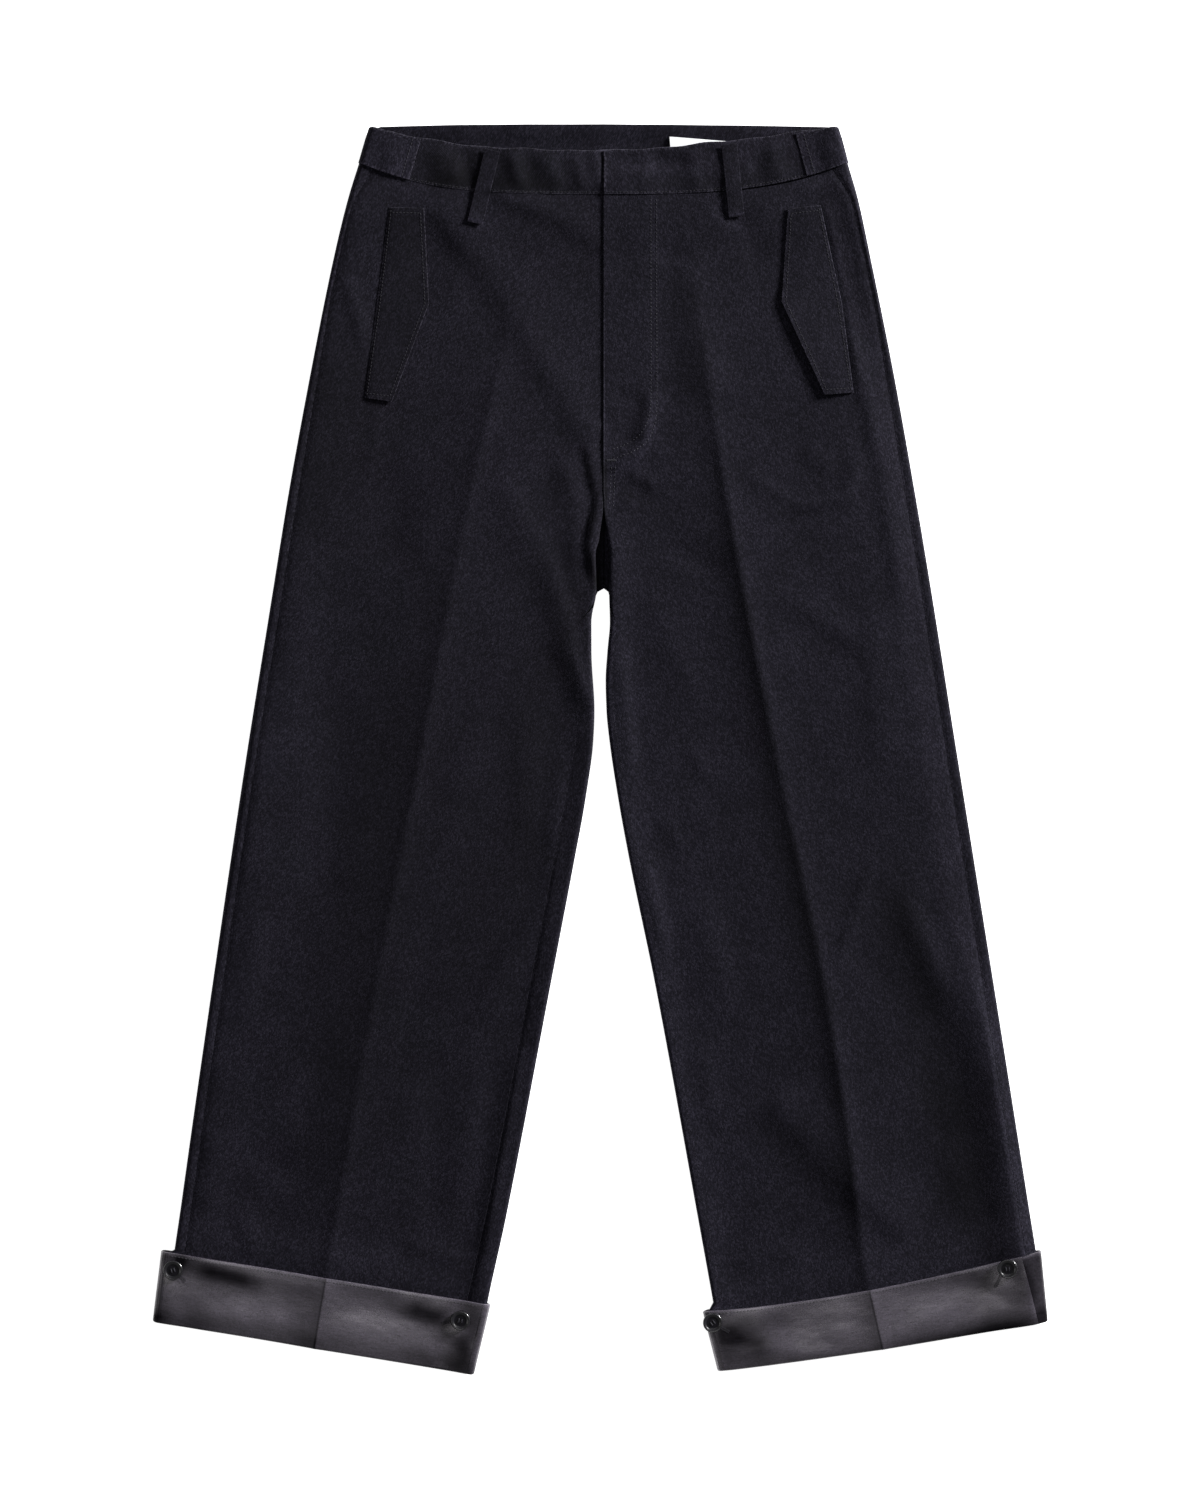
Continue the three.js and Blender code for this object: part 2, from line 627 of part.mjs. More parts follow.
// Turn-up: the outer layer runs down to the fold, turns, and runs a little way up inside.
const CUFF_TURN_ANGLES = [30, 60, 90, 120, 150];
function cuffPieces(side) {
  const { height, seamOuter, seamInner } = CUFF[side];
  const profile = [
    ...[height, height * 0.66, height * 0.33, 5, 0].map((above) => ({ above, inward: 0 })),
    ...CUFF_TURN_ANGLES.map((degrees) => ({
      above: (-Math.sin(THREE.MathUtils.degToRad(degrees)) * CUFF_TURN) / 2,
      inward: ((1 - Math.cos(THREE.MathUtils.degToRad(degrees))) * CUFF_TURN) / 2,
    })),
    ...[0, CUFF_TUCK].map((above) => ({ above, inward: CUFF_TURN })),
  ];
  const flatFloor = () => 0;
  const middleOf = (stopList, inward) =>
    stopList.map(({ point, out }) => point.clone().addScaledVector(out, -(CUFF_CLOTH / 2 + inward)));
  const front = [];
  const back = [];
  profile.forEach(({ above, inward }) => {
    const row = makeRow(side, cuffEnds(side, above), cuffHeight, flatFloor);
    const { width, outerRadius, innerRadius } = row;
    const crease = creaseStop(row);
    const seamStart = Math.max(seamOuter, outerRadius + 0.2);
    const seamEnd = width - Math.max(seamInner, innerRadius + 0.2);
    const top = [seamStart, ...stops(seamStart, crease, 5), ...stops(crease, seamEnd, 5)];
    front.push(middleOf(top.map(row.onFront), inward));
    const round = [
      row.onFront(seamStart - SEAM_GAP),
      row.onFront(outerRadius),
      ...stops(0, 180, 5).map(row.outerFold),
      ...stops(outerRadius, width - innerRadius, 5).map(row.onBack),
      ...stops(180, 0, 5).map((degrees) => row.innerFold(degrees)),
      row.onFront(seamEnd + SEAM_GAP),
    ];
    back.push(middleOf(round, inward));
  });
  return {
    front: wall(front, SIGN[side], CUFF_CLOTH / 2, CUFF_CLOTH / 2),
    back: wall(back, -SIGN[side], CUFF_CLOTH / 2, CUFF_CLOTH / 2),
  };
}

// Hip flap: sewn along its outer edge, free along the others, with a corner halfway down.
function hipFlap(side) {
  const { outer, inner, lift } = FLAP[side];
  const steps = 4;
  const lines = [];
  for (let part = 0; part < 2; part += 1) {
    for (let k = part ? 1 : 0; k <= steps; k += 1) {
      const edge = (table, key) => lerp(table[part][key], table[part + 1][key], k / steps);
      const foot = smooth(part + k / steps, 1.4, 2);
      lines.push(
        [0, 0.3, 0.6, 0.85, 1].map((share) => {
          const x = SIGN[side] * lerp(edge(outer, "x"), edge(inner, "x"), share);
          const down = lerp(edge(outer, "down"), edge(inner, "down"), share);
          const stand = FLAP_CLOTH + LAID_GAP + lift * Math.max(share ** 2, foot);
          const z = panelHeight(side)(x, down) + stand;
          return new THREE.Vector3(CENTRE_X + x, LENGTH / 2 - down, z);
        }),
      );
    }
  }
  return wall(lines, SIGN[side], FLAP_CLOTH);
}

// Belt loop: a strip laid over the waistband and the panel, standing off between its sewn ends.
function frontLoop({ top, foot }) {
  const run = new THREE.Vector2(foot[0] - top[0], foot[1] - top[1]);
  const across = new THREE.Vector2(run.y, -run.x).normalize();
  const side = sideOf(top[0]);
  const surface = (x, down) => Math.max(bandHeight(side)(x, down), panelHeight(side)(x, down));
  const lines = Array.from({ length: LOOP.steps + 1 }, (_, k) => {
    const share = k / LOOP.steps;
    const stand = LAID_GAP + LOOP.gap * Math.sin(Math.PI * share) ** 0.6 + CLOTH;
    return [-0.5, 0, 0.5].map((part) => {
      const x = top[0] + run.x * share + across.x * LOOP.width * part;
      const down = top[1] + run.y * share + across.y * LOOP.width * part;
      return new THREE.Vector3(CENTRE_X + x, LENGTH / 2 - down, surface(x, down) + stand);
    });
  });
  return wall(lines, -1, CLOTH);
}

// The loops behind the back waistband lie flat on the table.
function backLoop({ x }) {
  const lines = [0, 0.5, 1].map((share) => lerp(...BACK_LOOP_SPAN, share)).map((down) =>
    [-0.5, 0.5].map((part) => new THREE.Vector3(CENTRE_X + x + LOOP.width * part, LENGTH / 2 - down, CLOTH)),
  );
  return wall(lines, -1, CLOTH);
}

// A plain label on the inside of the back waistband.
function waistLabel() {
  const z = LOOP_LIFT + BAND_CLOTH + SEAM_GAP + LABEL_CLOTH;
  const lines = [0, 1].map((v) =>
    [0, 1].map((u) => {
      const x = LABEL.x + LABEL.width * u - LABEL.height * v * LABEL.tilt * -1;
      const down = LABEL.down + LABEL.height * v + LABEL.width * u * LABEL.tilt;
      return new THREE.Vector3(CENTRE_X + x, LENGTH / 2 - down, z);
    }),
  );
  return wall(lines, -1, LABEL_CLOTH);
}

const wasm = await Module();
wasm.setup();

function toSolid(geometry) {
  const bare = geometry.clone();
  bare.deleteAttribute("normal");
  bare.deleteAttribute("uv");
  const merged = mergeVertices(bare, 1e-4);
  return new wasm.Manifold(
    new wasm.Mesh({
      numProp: 3,
      vertProperties: new Float32Array(merged.attributes.position.array),
      triVerts: new Uint32Array(merged.index.array),
    }),
  );
}

function toGeometry(solid) {
  const mesh = solid.getMesh();
  const geometry = new THREE.BufferGeometry();
  geometry.setAttribute("position", new THREE.BufferAttribute(new Float32Array(mesh.vertProperties), 3));
  geometry.setIndex(new THREE.BufferAttribute(new Uint32Array(mesh.triVerts), 1));
  geometry.computeVertexNormals();
  return geometry;
}

// Four-hole button, dished inside a raised rim, lying face up.
function buttonGeometry() {
  const { radius, thickness, hole, holeOff, segments } = BUTTON;
  const profile = [
    [0, 0],
    [radius - 1.8, 0],
    [radius, 1.0],
    [radius, thickness - 0.7],
    [radius - 0.7, thickness],
    [radius - 1.5, thickness],
    [radius - 2.4, thickness - 0.9],
    [0, thickness - 1.1],
  ].map(([r, z]) => new THREE.Vector2(r, z));
  const disc = new THREE.LatheGeometry(profile, segments).rotateX(Math.PI / 2);
  let solid = toSolid(disc);
  for (let k = 0; k < 4; k += 1) {
    const angle = Math.PI / 4 + (k * Math.PI) / 2;
    const drill = new THREE.CylinderGeometry(hole, hole, 2 * thickness + 2, 8).rotateX(Math.PI / 2);
    drill.translate(holeOff * Math.cos(angle), holeOff * Math.sin(angle), 0);
    solid = solid.subtract(toSolid(drill));
  }
  return toGeometry(solid);
}

const denim = () => new THREE.MeshStandardMaterial({ color: 0x1b1a20, roughness: 0.9, metalness: 0 });
const satin = () => new THREE.MeshStandardMaterial({ color: 0x2c2b2f, roughness: 0.45, metalness: 0 });
const horn = () => new THREE.MeshStandardMaterial({ color: 0x0c0c0e, roughness: 0.25, metalness: 0 });
const tape = () => new THREE.MeshStandardMaterial({ color: 0xf2f2f4, roughness: 0.7, metalness: 0 });

const trousers = new THREE.Group();
function add(name, geometry, material) {
  const mesh = new THREE.Mesh(geometry, material);
  mesh.name = name;
  trousers.add(mesh);
  return mesh;
}

for (const side of ["right", "left"]) {
  const rows = legRows(side);
  add(`front_panel_${side}`, frontPanel(side, rows), denim());
  add(`back_panel_${side}`, backPanel(side, rows), denim());
  add(`waistband_front_${side}`, frontBand(side), denim());
  add(`side_tab_${side}`, sideTab(side), denim());
  add(`hip_flap_${side}`, hipFlap(side), denim());
  const cuff = cuffPieces(side);
  add(`turn_up_front_${side}`, cuff.front, satin());
  add(`turn_up_back_${side}`, cuff.back, satin());
}
add("waistband_back", backBand(), denim());
for (const loop of FRONT_LOOPS) add(loop.name, frontLoop(loop), denim());
for (const loop of BACK_LOOPS) add(loop.name, backLoop(loop), denim());
add("waist_label", waistLabel(), tape());

const button = buttonGeometry();
for (const { name, at } of BUTTONS) {
  const [x, down] = at;
  const mesh = add(name, button.clone(), horn());
  const under = [-1, 0, 1].flatMap((u) =>
    [-1, 0, 1].map((v) => cuffHeight(x + u * BUTTON.radius, down + v * BUTTON.radius)),
  );
  mesh.position.set(CENTRE_X + x, LENGTH / 2 - down, Math.max(...under) + BUTTON.stand);
}

export default trousers;
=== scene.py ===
# %% [markdown]
# # A pair of black denim trousers, laid flat
# The trousers lie front up on a table. Every cloth piece is a thin shell over its CAD solid.
# It follows the same sizes, with finer creases, rounded edges, sewing and a real weave.
# The CAD model comes in first. It is the fixed frame that each new piece has to fit.

# %% Load the frame
import math

import bmesh
import bpy
import numpy as np
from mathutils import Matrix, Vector


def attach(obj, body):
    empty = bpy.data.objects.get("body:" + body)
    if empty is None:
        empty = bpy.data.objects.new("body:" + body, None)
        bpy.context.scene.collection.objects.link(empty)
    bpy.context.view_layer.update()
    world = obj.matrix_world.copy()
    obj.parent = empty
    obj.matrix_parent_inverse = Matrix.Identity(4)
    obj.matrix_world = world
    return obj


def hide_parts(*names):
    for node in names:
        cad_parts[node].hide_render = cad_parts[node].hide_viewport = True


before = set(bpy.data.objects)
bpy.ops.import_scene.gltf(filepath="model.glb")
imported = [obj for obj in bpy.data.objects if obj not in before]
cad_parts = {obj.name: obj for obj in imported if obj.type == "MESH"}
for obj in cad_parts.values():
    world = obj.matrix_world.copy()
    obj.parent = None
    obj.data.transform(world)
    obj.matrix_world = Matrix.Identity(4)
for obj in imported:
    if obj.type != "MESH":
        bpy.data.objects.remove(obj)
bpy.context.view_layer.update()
print("CAD nodes:", len(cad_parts))

# %% [markdown]
# ## Sizes
# A tailor measures in millimetres, from the waist down and from the centre line out.
# The tables below do the same, so they can be read against a real pair.
# Meshes are made in metres, so each point is multiplied by MM when it becomes a vertex.

# %% Main sizes
MM = 0.001
LENGTH = 1039  # back waist edge to the lowest fold of the turn-ups
CENTRE_X = 3.3  # the centre line, beside the middle of the whole
SIGN = {"right": -1, "left": 1}  # the wearer's sides
FAR = 1e3

# Thicknesses
CLOTH = 1.2
BAND_CLOTH = 1.8
CUFF_CLOTH = 1.4
FLAP_CLOTH = 1.0
TAB_CLOTH = 0.6
LOOP_CLOTH = 0.6
LABEL_CLOTH = 0.7

# Gaps between rigid walls
SEAM_GAP = 0.3
WAIST_GAP = 0.15
LAID_GAP = 0.1  # under a piece that is laid on top
OPEN_GAP = 0.02  # at the inseam of a thigh, where the seam is pressed shut

# The way the front lies over the table
VALLEY = 3.8  # its face where the two layers touch most
EDGE_RISE, EDGE_REACH = 2.1, 16
LONG_SLOPE = dict(rise=1.0, knee_rise=1.6, reach=46)  # the wearer's right leg, on top of EDGE_RISE
SHOULDER = dict(inset=(33, 13), rise=(2.8, 4.8), inner_reach=(62, 24), outer_reach=(19, 9))  # left: knee, hem
RIDGE_RISE = 4.2  # the pressed crease
RIDGE_REACH = {"right": (46, 60), "left": (52, 21)}  # how far it fades outwards and inwards
RIDGE_WAVER = 0.14  # the share of its height that comes and goes down the leg
CREASE_START, CREASE_FULL = 100, 300
WAIST_PUFF, PUFF_END = 2.0, (50, 150)
BAND_PROUD = 0.6
PARTED = (318, 352)  # the two fronts part on the way down here
CROTCH = 410  # below it the inner folds are edges too
HIP, LOWER_LEG = (110, 260), (620, 790)  # where the shoulder grows, and where it becomes the hem's
KNEE = ((420, 560), (640, 720))  # where the long slope rises, and where it falls again

# The way the back lies on the table
LOOP_LIFT, LOOPS_END = 1.7, (68, 112)
CUFF_STAND, CUFF_CLIMB = 2.5, (4, 42)
CUFF_TURN = 2.4
CUFF_TUCK = 8
CUFF_FOLD = 56  # the fold of a turn-up below its top edge

WAIST = {  # of the front waistband: its seam and its top edge on the centre line
    "right": dict(seam_down=58.5, seam_bend=3.5, top_down=22, top_bend=2.8),
    "left": dict(seam_down=58.5, seam_bend=3.0, top_down=23, top_bend=1.35),
}
BAND_END = dict(down=2.5, seam=32.5)
BACK_BAND_SEAM, BACK_BAND_TOP = 38.3, 0.4
FLY = dict(
    lap=10, end=262, panel_raise=0.9, band_raise=1.3, full=30, fade=60, fade_from=262, fade_to=292,
    edge_rise=0.6, edge_reach=5, edge_grows=(250, 280), edge_ends=(318, 330),
)
LAP_DIP = 0.7  # the half below sinks under the lap
CENTRE_LAP = 0.35  # the halves close up where they are sewn together

# %% Outlines, as (distance from the waist, distance from the centre line)
OUTER_EDGE = {
    "right": [
        (0, 193.5), (12, 197.5), (32, 203.5), (60, 212), (113, 225), (213, 245), (312, 263),
        (387, 275), (512, 295), (611, 310), (810, 339), (935, 356.5), (1040, 371),
    ],
    "left": [
        (0, 193), (12, 197), (32, 202.5), (60, 210.5), (113, 222), (213, 242), (312, 259.5),
        (387, 272), (512, 291.7), (611, 307.5), (810, 339), (935, 358.5), (1040, 374),
    ],
}
INNER_EDGE = {
    "right": [
        (0, 0.15), (318, 0.15), (341, 2.6), (357, 7), (386, 6.2), (413, 10.4), (437, 10.4), (487, 7.9),
        (512, 8.9), (561, 15.4), (611, 24.5), (711, 43.6), (910, 81.8), (980, 97), (1045, 108),
    ],
    "left": [
        (0, 0.15), (318, 0.15), (341, 2.2), (357, 4.6), (386, 4.2), (413, 4.9), (437, 2.9), (462, 1.4),
        (487, 2.1), (512, 4.6), (561, 12), (611, 21.2), (711, 41.9), (910, 78.4), (980, 91), (1045, 102),
    ],
}
CREASE = {
    "right": [
        (0, 48), (85, 61), (188, 84), (296, 108.5), (561, 159), (719, 189.7),
        (952, 229.5), (1010, 239.5), (1045, 245),
    ],
    "left": [
        (0, 58), (116, 73.5), (182, 82.6), (312, 102.5), (561, 150.6), (719, 183.8),
        (852, 204.6), (943, 215.4), (1010, 229.5), (1045, 237),
    ],
}
SIDE_SEAM = [(32, 13), (70, 5.5), (130, 5), (220, 7.5), (300, 8.5), (1045, 9.5)]  # in from the outer fold
INSEAM_INSET = {"right": 17, "left": 8}

# %% Lines across a leg
# Rolls are degrees round the inner fold: the front's from above, the back's from below.
LEG_KEYS = ["outer", "inner", "back", "bend", "roll", "wrap", "inset", "tight"]
LEG_ROWS = [
    (32.5, 58.5, 38.3, 3.5, 0, 0, 0, 0),  # waist seam
    (54, 78, 60, 2.8, 0, 0, 0, 0),
    (84, 104, 92, 2, 0, 0, 0, 0),  # flap top
    (106, 122, 112, 1.7, 0, 0, 0, 0),
    (132, 142, 133, 1.4, 0, 0, 0, 0),
    (196, 202, 200, 1, 0, 0, 0, 0),
    (258, 262, 262, 1, 0, 0, 0, 0),  # end of the fly
    (300, 304, 304, 1, 0, 0, 0, 0),
    (337, 341, 341, 1, 45, 0, 0, 0),  # the fronts part here
    (353, 357, 357, 1, 115, 0, 0, 1),
    (380, 385, 385, 1, 115, 0, 0, 1),  # crotch
    (386, 391, 391, 1, 72, 80, 0, 0),
    (395, 401, 401, 1, 26, 122, 0, 0),
    (406, 415, 415, 1, 0, 180, 0.65, 0),  # thigh
    (452, 462, 462, 1, 0, 180, 0.75, 0),
    (500, 512, 512, 1, 0, 180, 0.9, 0),
    (548, 563, 563, 1, 0, 180, 1, 0),
    (615, 634, 634, 1, 0, 180, 1, 0),  # knee
    (700, 724, 724, 1, 0, 180, 1, 0),
    (785, 814, 814, 1, 0, 180, 1, 0),
    (860, 894, 894, 1, 0, 180, 1, 0),
    (908, 948, 948, 1, 0, 180, 1, 0),
    (934, 978, 978, 1, 0, 180, 1, 0),  # top of the turn-up
]
FORK_RADIUS = 2.2
CUFF = {
    "right": dict(
        top=dict(outer=367.5, outer_down=935, inner=94, inner_down=980, bend=1),
        fold=dict(outer=374.5, outer_down=992, inner=107.5, inner_down=1036.5, bend=1),
        height=57, seam_outer=(6.5, 6.5), seam_inner=6.5,
    ),
    "left": dict(
        top=dict(outer=363, outer_down=935, inner=82, inner_down=985, bend=1.5),
        fold=dict(outer=368.5, outer_down=992, inner=94, inner_down=1033, bend=1.2),
        height=55, seam_outer=(9.0, 17.5), seam_inner=6.5,
    ),
}

# %% [markdown]
# ## Folds and tones
# Cloth that has been worn and pressed never lies quite flat. Each fold below is a soft trough or
# ridge, placed one by one: where it starts and ends, how wide it is on each side, and how high.
# No two are alike in length, depth or softness, which is what makes cloth look like cloth.
# A noise texture could make wrinkles too, but they would run anywhere.
# Tables in the same columns say where the cloth is painted a little darker or paler than the rest of it.
# This is painted light and shade: the lit and shaded sides of folds, the shadow in the fork, the satin's
# sheen.

# %% Folds of the front layer: from (x, down), to (x, down), half-widths on the two sides, height
FOLDS = [
    # wearer's right: from the flap and the waist down to the fork
    ((-142, 66), (-93, 126), 12, 24, 1.5),
    ((-94, 124), (-57, 180), 14, 26, 1.2),
    ((-63, 176), (-5, 275), 13, 20, 1.1),
    ((-93, 59), (-46, 74), 7, 14, 1.3),
    ((-49, 70), (0, 102), 8, 15, 0.8),
    ((-215, 126), (-199, 184), 5, 7, 0.8),
    ((-111, 68), (-126, 147), 16, 10, 0.4),
    ((-190, 234), (-194, 296), 4, 5, 0.25),
    # wearer's right: round the fork
    ((-15, 267), (-5, 313), 2.6, 9, 1.1),
    ((-5, 311), (-13, 350), 2.4, 8, 1.6),
    ((-13, 348), (-5, 388), 2.4, 6, 1.6),
    ((-36, 275), (-21, 329), 10, 9, 0.9),
    ((-24, 325), (-24, 396), 9, 8, 0.9),
    ((-86, 296), (-49, 363), 20, 12, 1.0),
    ((-46, 363), (-26, 437), 15, 9, 1.8),
    ((-31, 429), (-13, 483), 13, 7, 1.5),
    ((-69, 470), (-61, 612), 16, 14, 0.6),
    # wearer's right: down the leg
    ((-169, 288), (-181, 363), 22, 18, -0.8),
    ((-252, 363), (-259, 495), 20, 16, 0.7),
    ((-283, 479), (-293, 645), 14, 24, 1.1),
    ((-252, 509), (-266, 648), 15, 20, 0.7),
    ((-215, 479), (-234, 665), 19, 16, -0.5),
    ((-287, 645), (-302, 744), 10, 14, 0.7),
    ((-111, 495), (-136, 645), 14, 18, 0.4),
    ((-43, 641), (-104, 728), 9, 14, 1.1),
    ((-36, 529), (-46, 628), 9, 7, 0.8),
    ((-144, 670), (-165, 769), 12, 16, -0.5),
    ((-295, 851), (-247, 881), 12, 16, -0.6),
    ((-322, 836), (-331, 915), 9, 14, 0.8),
    ((-303, 900), (-288, 942), 8, 14, 0.8),
    ((-104, 786), (-123, 906), 12, 9, 0.5),
    ((-136, 778), (-146, 902), 10, 12, -0.5),
    ((-70, 769), (-86, 861), 10, 7, 1.1),
    ((-85, 852), (-104, 970), 9, 7, 1.3),
    ((-231, 778), (-252, 836), 14, 12, -0.6),
    ((-169, 927), (-111, 945), 8, 8, 0.8),
    ((-300, 639), (-259, 642), 4, 6, -0.2),
    # wearer's left: hip and fly
    ((70, 110), (76, 172), 18, 14, 0.6),
    ((78, 168), (85, 222), 18, 18, 0.9),
    ((43, 109), (72, 110), 6, 8, -0.5),
    ((113, 64), (130, 118), 9, 12, -0.6),
    ((163, 57), (205, 49), 6, 8, 0.7),
    ((93, 68), (115, 82), 7, 7, -0.7),
    ((40, 226), (30, 270), 7, 6, 1.1),
    ((30, 268), (4, 288), 6, 7, 1.3),
    ((20, 290), (43, 300), 5, 7, 0.8),
    ((7, 226), (30, 230), 5, 6, -0.5),
    ((39, 288), (20, 313), 6, 8, -0.4),
    ((117, 288), (163, 319), 7, 5, 0.4),
    ((160, 319), (203, 311), 4, 6, 0.8),
    ((201, 313), (210, 275), 7, 8, 0.6),
    ((163, 271), (192, 288), 6, 9, 0.5),
    ((206, 168), (233, 295), 7, 12, 0.9),
    ((182, 68), (199.5, 147), 1.3, 7, 0.7),
    ((199.5, 147), (209, 222), 1.3, 7, 0.7),
    ((233, 292), (249, 396), 8, 14, 0.9),
    # wearer's left: down the leg
    ((47, 346), (97, 371), 12, 12, -0.7),
    ((39, 388), (72, 479), 14, 16, 0.5),
    ((12, 429), (24, 545), 8, 7, 0.9),
    ((146, 388), (221, 441), 9, 12, 0.6),
    ((220, 396), (230, 529), 12, 14, 0.5),
    ((72, 516), (85, 545), 5, 6, 0.35),
    ((47, 574), (65, 602), 6, 7, 0.35),
    ((34, 612), (50, 686), 8, 7, 1.0),
    ((80, 645), (101, 728), 16, 12, 0.7),
    ((220, 618), (195, 696), 6, 7, 0.6),
    ((80, 761), (90, 827), 9, 8, 0.7),
    ((250, 645), (283, 719), 12, 9, 0.9),
    ((137, 809), (173, 844), 14, 22, 1.2),
    ((168, 839), (211, 882), 18, 26, 1.3),
    ((206, 879), (256, 927), 12, 20, 1.1),
    ((264, 822), (286, 841), 9, 9, -0.4),
    ((250, 819), (267, 885), 12, 14, -0.3),
    ((105, 948), (163, 935), 9, 10, 0.9),
    ((130, 977), (196, 945), 8, 7, -0.6),
    ((288, 852), (304, 919), 14, 14, 0.5),
]

# Puckers of the waistband, in the same columns
BAND_FOLDS = [
    ((-78, 22), (-70, 52), 6, 8, 1.1),
    ((-53, 22), (-39, 54), 9, 10, 0.9),
    ((-25, 26), (-18, 55), 6, 7, 0.8),
    ((-8, 22), (-3, 55), 7, 5, 0.7),
    ((-139, 19), (-126, 49), 10, 12, 0.9),
    ((7, 33), (80, 31), 6, 7, -1.0),
    ((123, 37), (163, 29), 7, 8, -0.4),
    ((72, 22), (80, 55), 8, 9, 0.6),
    ((47, 22), (40, 52), 7, 8, -0.6),
    ((137, 14), (146, 47), 7, 9, 0.7),
    ((-117, 22), (-111, 51), 5, 6, -0.6),
    ((-173, 14), (-179, 46), 8, 9, 0.5),
    ((185, 12), (190, 41), 7, 8, 0.5),
]

FOLD_DEPTH = 1.35  # every fold of the legs is this much deeper than its row says
PUCKER_DEPTH = 1.3 * FOLD_DEPTH

# Painted light and shade on the legs, in the same columns: below 0 is darker, above 0 paler.
# They stand for the shaded and lit sides of folds and puckers, and for the shadow in the fork.
LEG_PAINTED_LIGHT = [
    ((-219, 172), (-244, 363), 30, 50, -0.3),
    ((68, 115), (84, 235), 22, 10, -0.2),
    ((8, 290), (34, 274), 7, 7, 0.35),
    ((30, 276), (45, 246), 5, 5, 0.3),
    ((14, 304), (24, 312), 6, 6, -0.3),
    ((-169, 363), (-210, 894), 60, 80, -0.28),
    ((-36, 412), (-86, 728), 35, 20, -0.28),
    ((-293, 363), (-343, 728), 20, 22, 0.12),
    ((-36, 346), (-10, 470), 14, 10, -0.25),
    ((102, 312), (150, 561), 18, 3, -0.3),
    ((150, 561), (184, 719), 22, 3, -0.4),
    ((184, 719), (216, 943), 14, 3, -0.25),
    ((238, 612), (280, 770), 28, 15, -0.4),
    ((280, 770), (312, 930), 34, 20, -0.5),
    ((163, 479), (221, 852), 60, 60, -0.08),
    ((130, 827), (205, 898), 16, 16, -0.25),
    # Painted shadow in the fork, along the edges of the two fronts
    ((1, 275), (1, 324), 2.6, 2, -0.6),
    ((1, 323), (-5, 356), 2.6, 2.6, -0.6),
    ((-5, 354), (-5, 389), 2.8, 2.8, -0.6),
    ((-16, 271), (-7, 313), 4, 3, -0.3),
    ((-7, 313), (-14, 350), 4, 3, -0.4),
    ((-14, 350), (-6, 386), 4, 3, -0.4),
]
# Painted shade on the waistband: over most of the wearer's right half, in a patch on the left, and along its
# lower seam
BAND_PAINTED_SHADE = [
    ((-170, 30), (-20, 40), 26, 26, -0.35),
    ((-148, 35), (-104, 41), 14, 14, -0.25),
    ((-86, 39), (-36, 46), 14, 14, -0.15),
    ((126, 31), (163, 35), 12, 12, -0.3),
    ((-165, 47), (-15, 54), 6, 6, -0.3),
    ((20, 52), (150, 45), 6, 6, -0.25),
]
SATIN_PAINTED_SHEEN = [  # painted sheen and painted shade of the satin, where the pulled cloth faces towards or away from the light
    ((-343, 947), (-283, 963), 11, 12, -1.0),
    ((-372, 938), (-340, 944), 8, 9, -0.55),
    ((-287, 961), (-238, 970), 7, 8, -0.35),
    ((-166, 981), (-127, 992), 11, 12, -1.0),
    ((-121, 1003), (-114, 1028), 8, 9, -0.7),
    ((-106, 982), (-108, 1020), 8, 8, -0.5),
    ((-369, 962), (-371, 995), 7, 8, -0.5),
    ((-356, 942), (-346, 944), 9, 9, -0.6),
    ((-322, 985), (-252, 995), 24, 18, 0.85),
    ((-240, 1005), (-150, 1022), 20, 10, 0.35),
    ((-222, 992), (-142, 1008), 24, 18, 0.4),
    ((86, 984), (92, 1030), 18, 26, -0.6),
    ((88, 1002), (98, 1036), 5, 3, 1.6),
    ((92, 1003), (141, 1013), 9, 10, -0.7),
    ((104, 994), (162, 991), 8, 9, -0.5),
    ((96, 1024), (140, 1019), 9, 9, -0.3),
    ((163, 1004), (213, 996), 16, 16, 0.25),
    ((225, 990), (300, 982), 20, 14, 0.35),
    ((238, 966), (322, 950), 8, 8, -0.35),
    ((302, 955), (322, 952), 7, 7, -0.35),
    ((343, 948), (351, 978), 7, 7, -0.6),
    ((235, 1011), (355, 994), 7, 7, -0.45),
]

# Tones that follow the edges: (tone, reach)
# Paler along the folded edges of the legs: rubbed wear, with painted light where the fold faces away from the
# light
WORN_AND_LIT_FOLD = (0.8, 2.4)
# A painted highlight along the top edge of each turn-up, painted shade where it turns under at the fold, and
# a painted shade line along the crease
SATIN_TOP, SATIN_TOP_LINE = (0.8, 1.1), 0.6  # the line lies this far below the edge
SATIN_TURN_SHADE = (0.65, 6.5)
SATIN_CREASE_SHADE = (0.55, 0.9)
TAB_TONE = 0.15
# Painted shade on the flaps, most on the wearer's right one
FLAP_PAINTED_SHADE = {"right": -0.22, "left": -0.05}
LOOP_FOOT_TONE, LOOP_FOOT_LINE = 1.2, 2.2  # the line lies this far above the foot
# The wearer's left turn-up is made darker and duller towards its outer fold
DULL_END = dict(tone=0.8, grows=(290, 320))  # the turn-up beyond the end of its facing

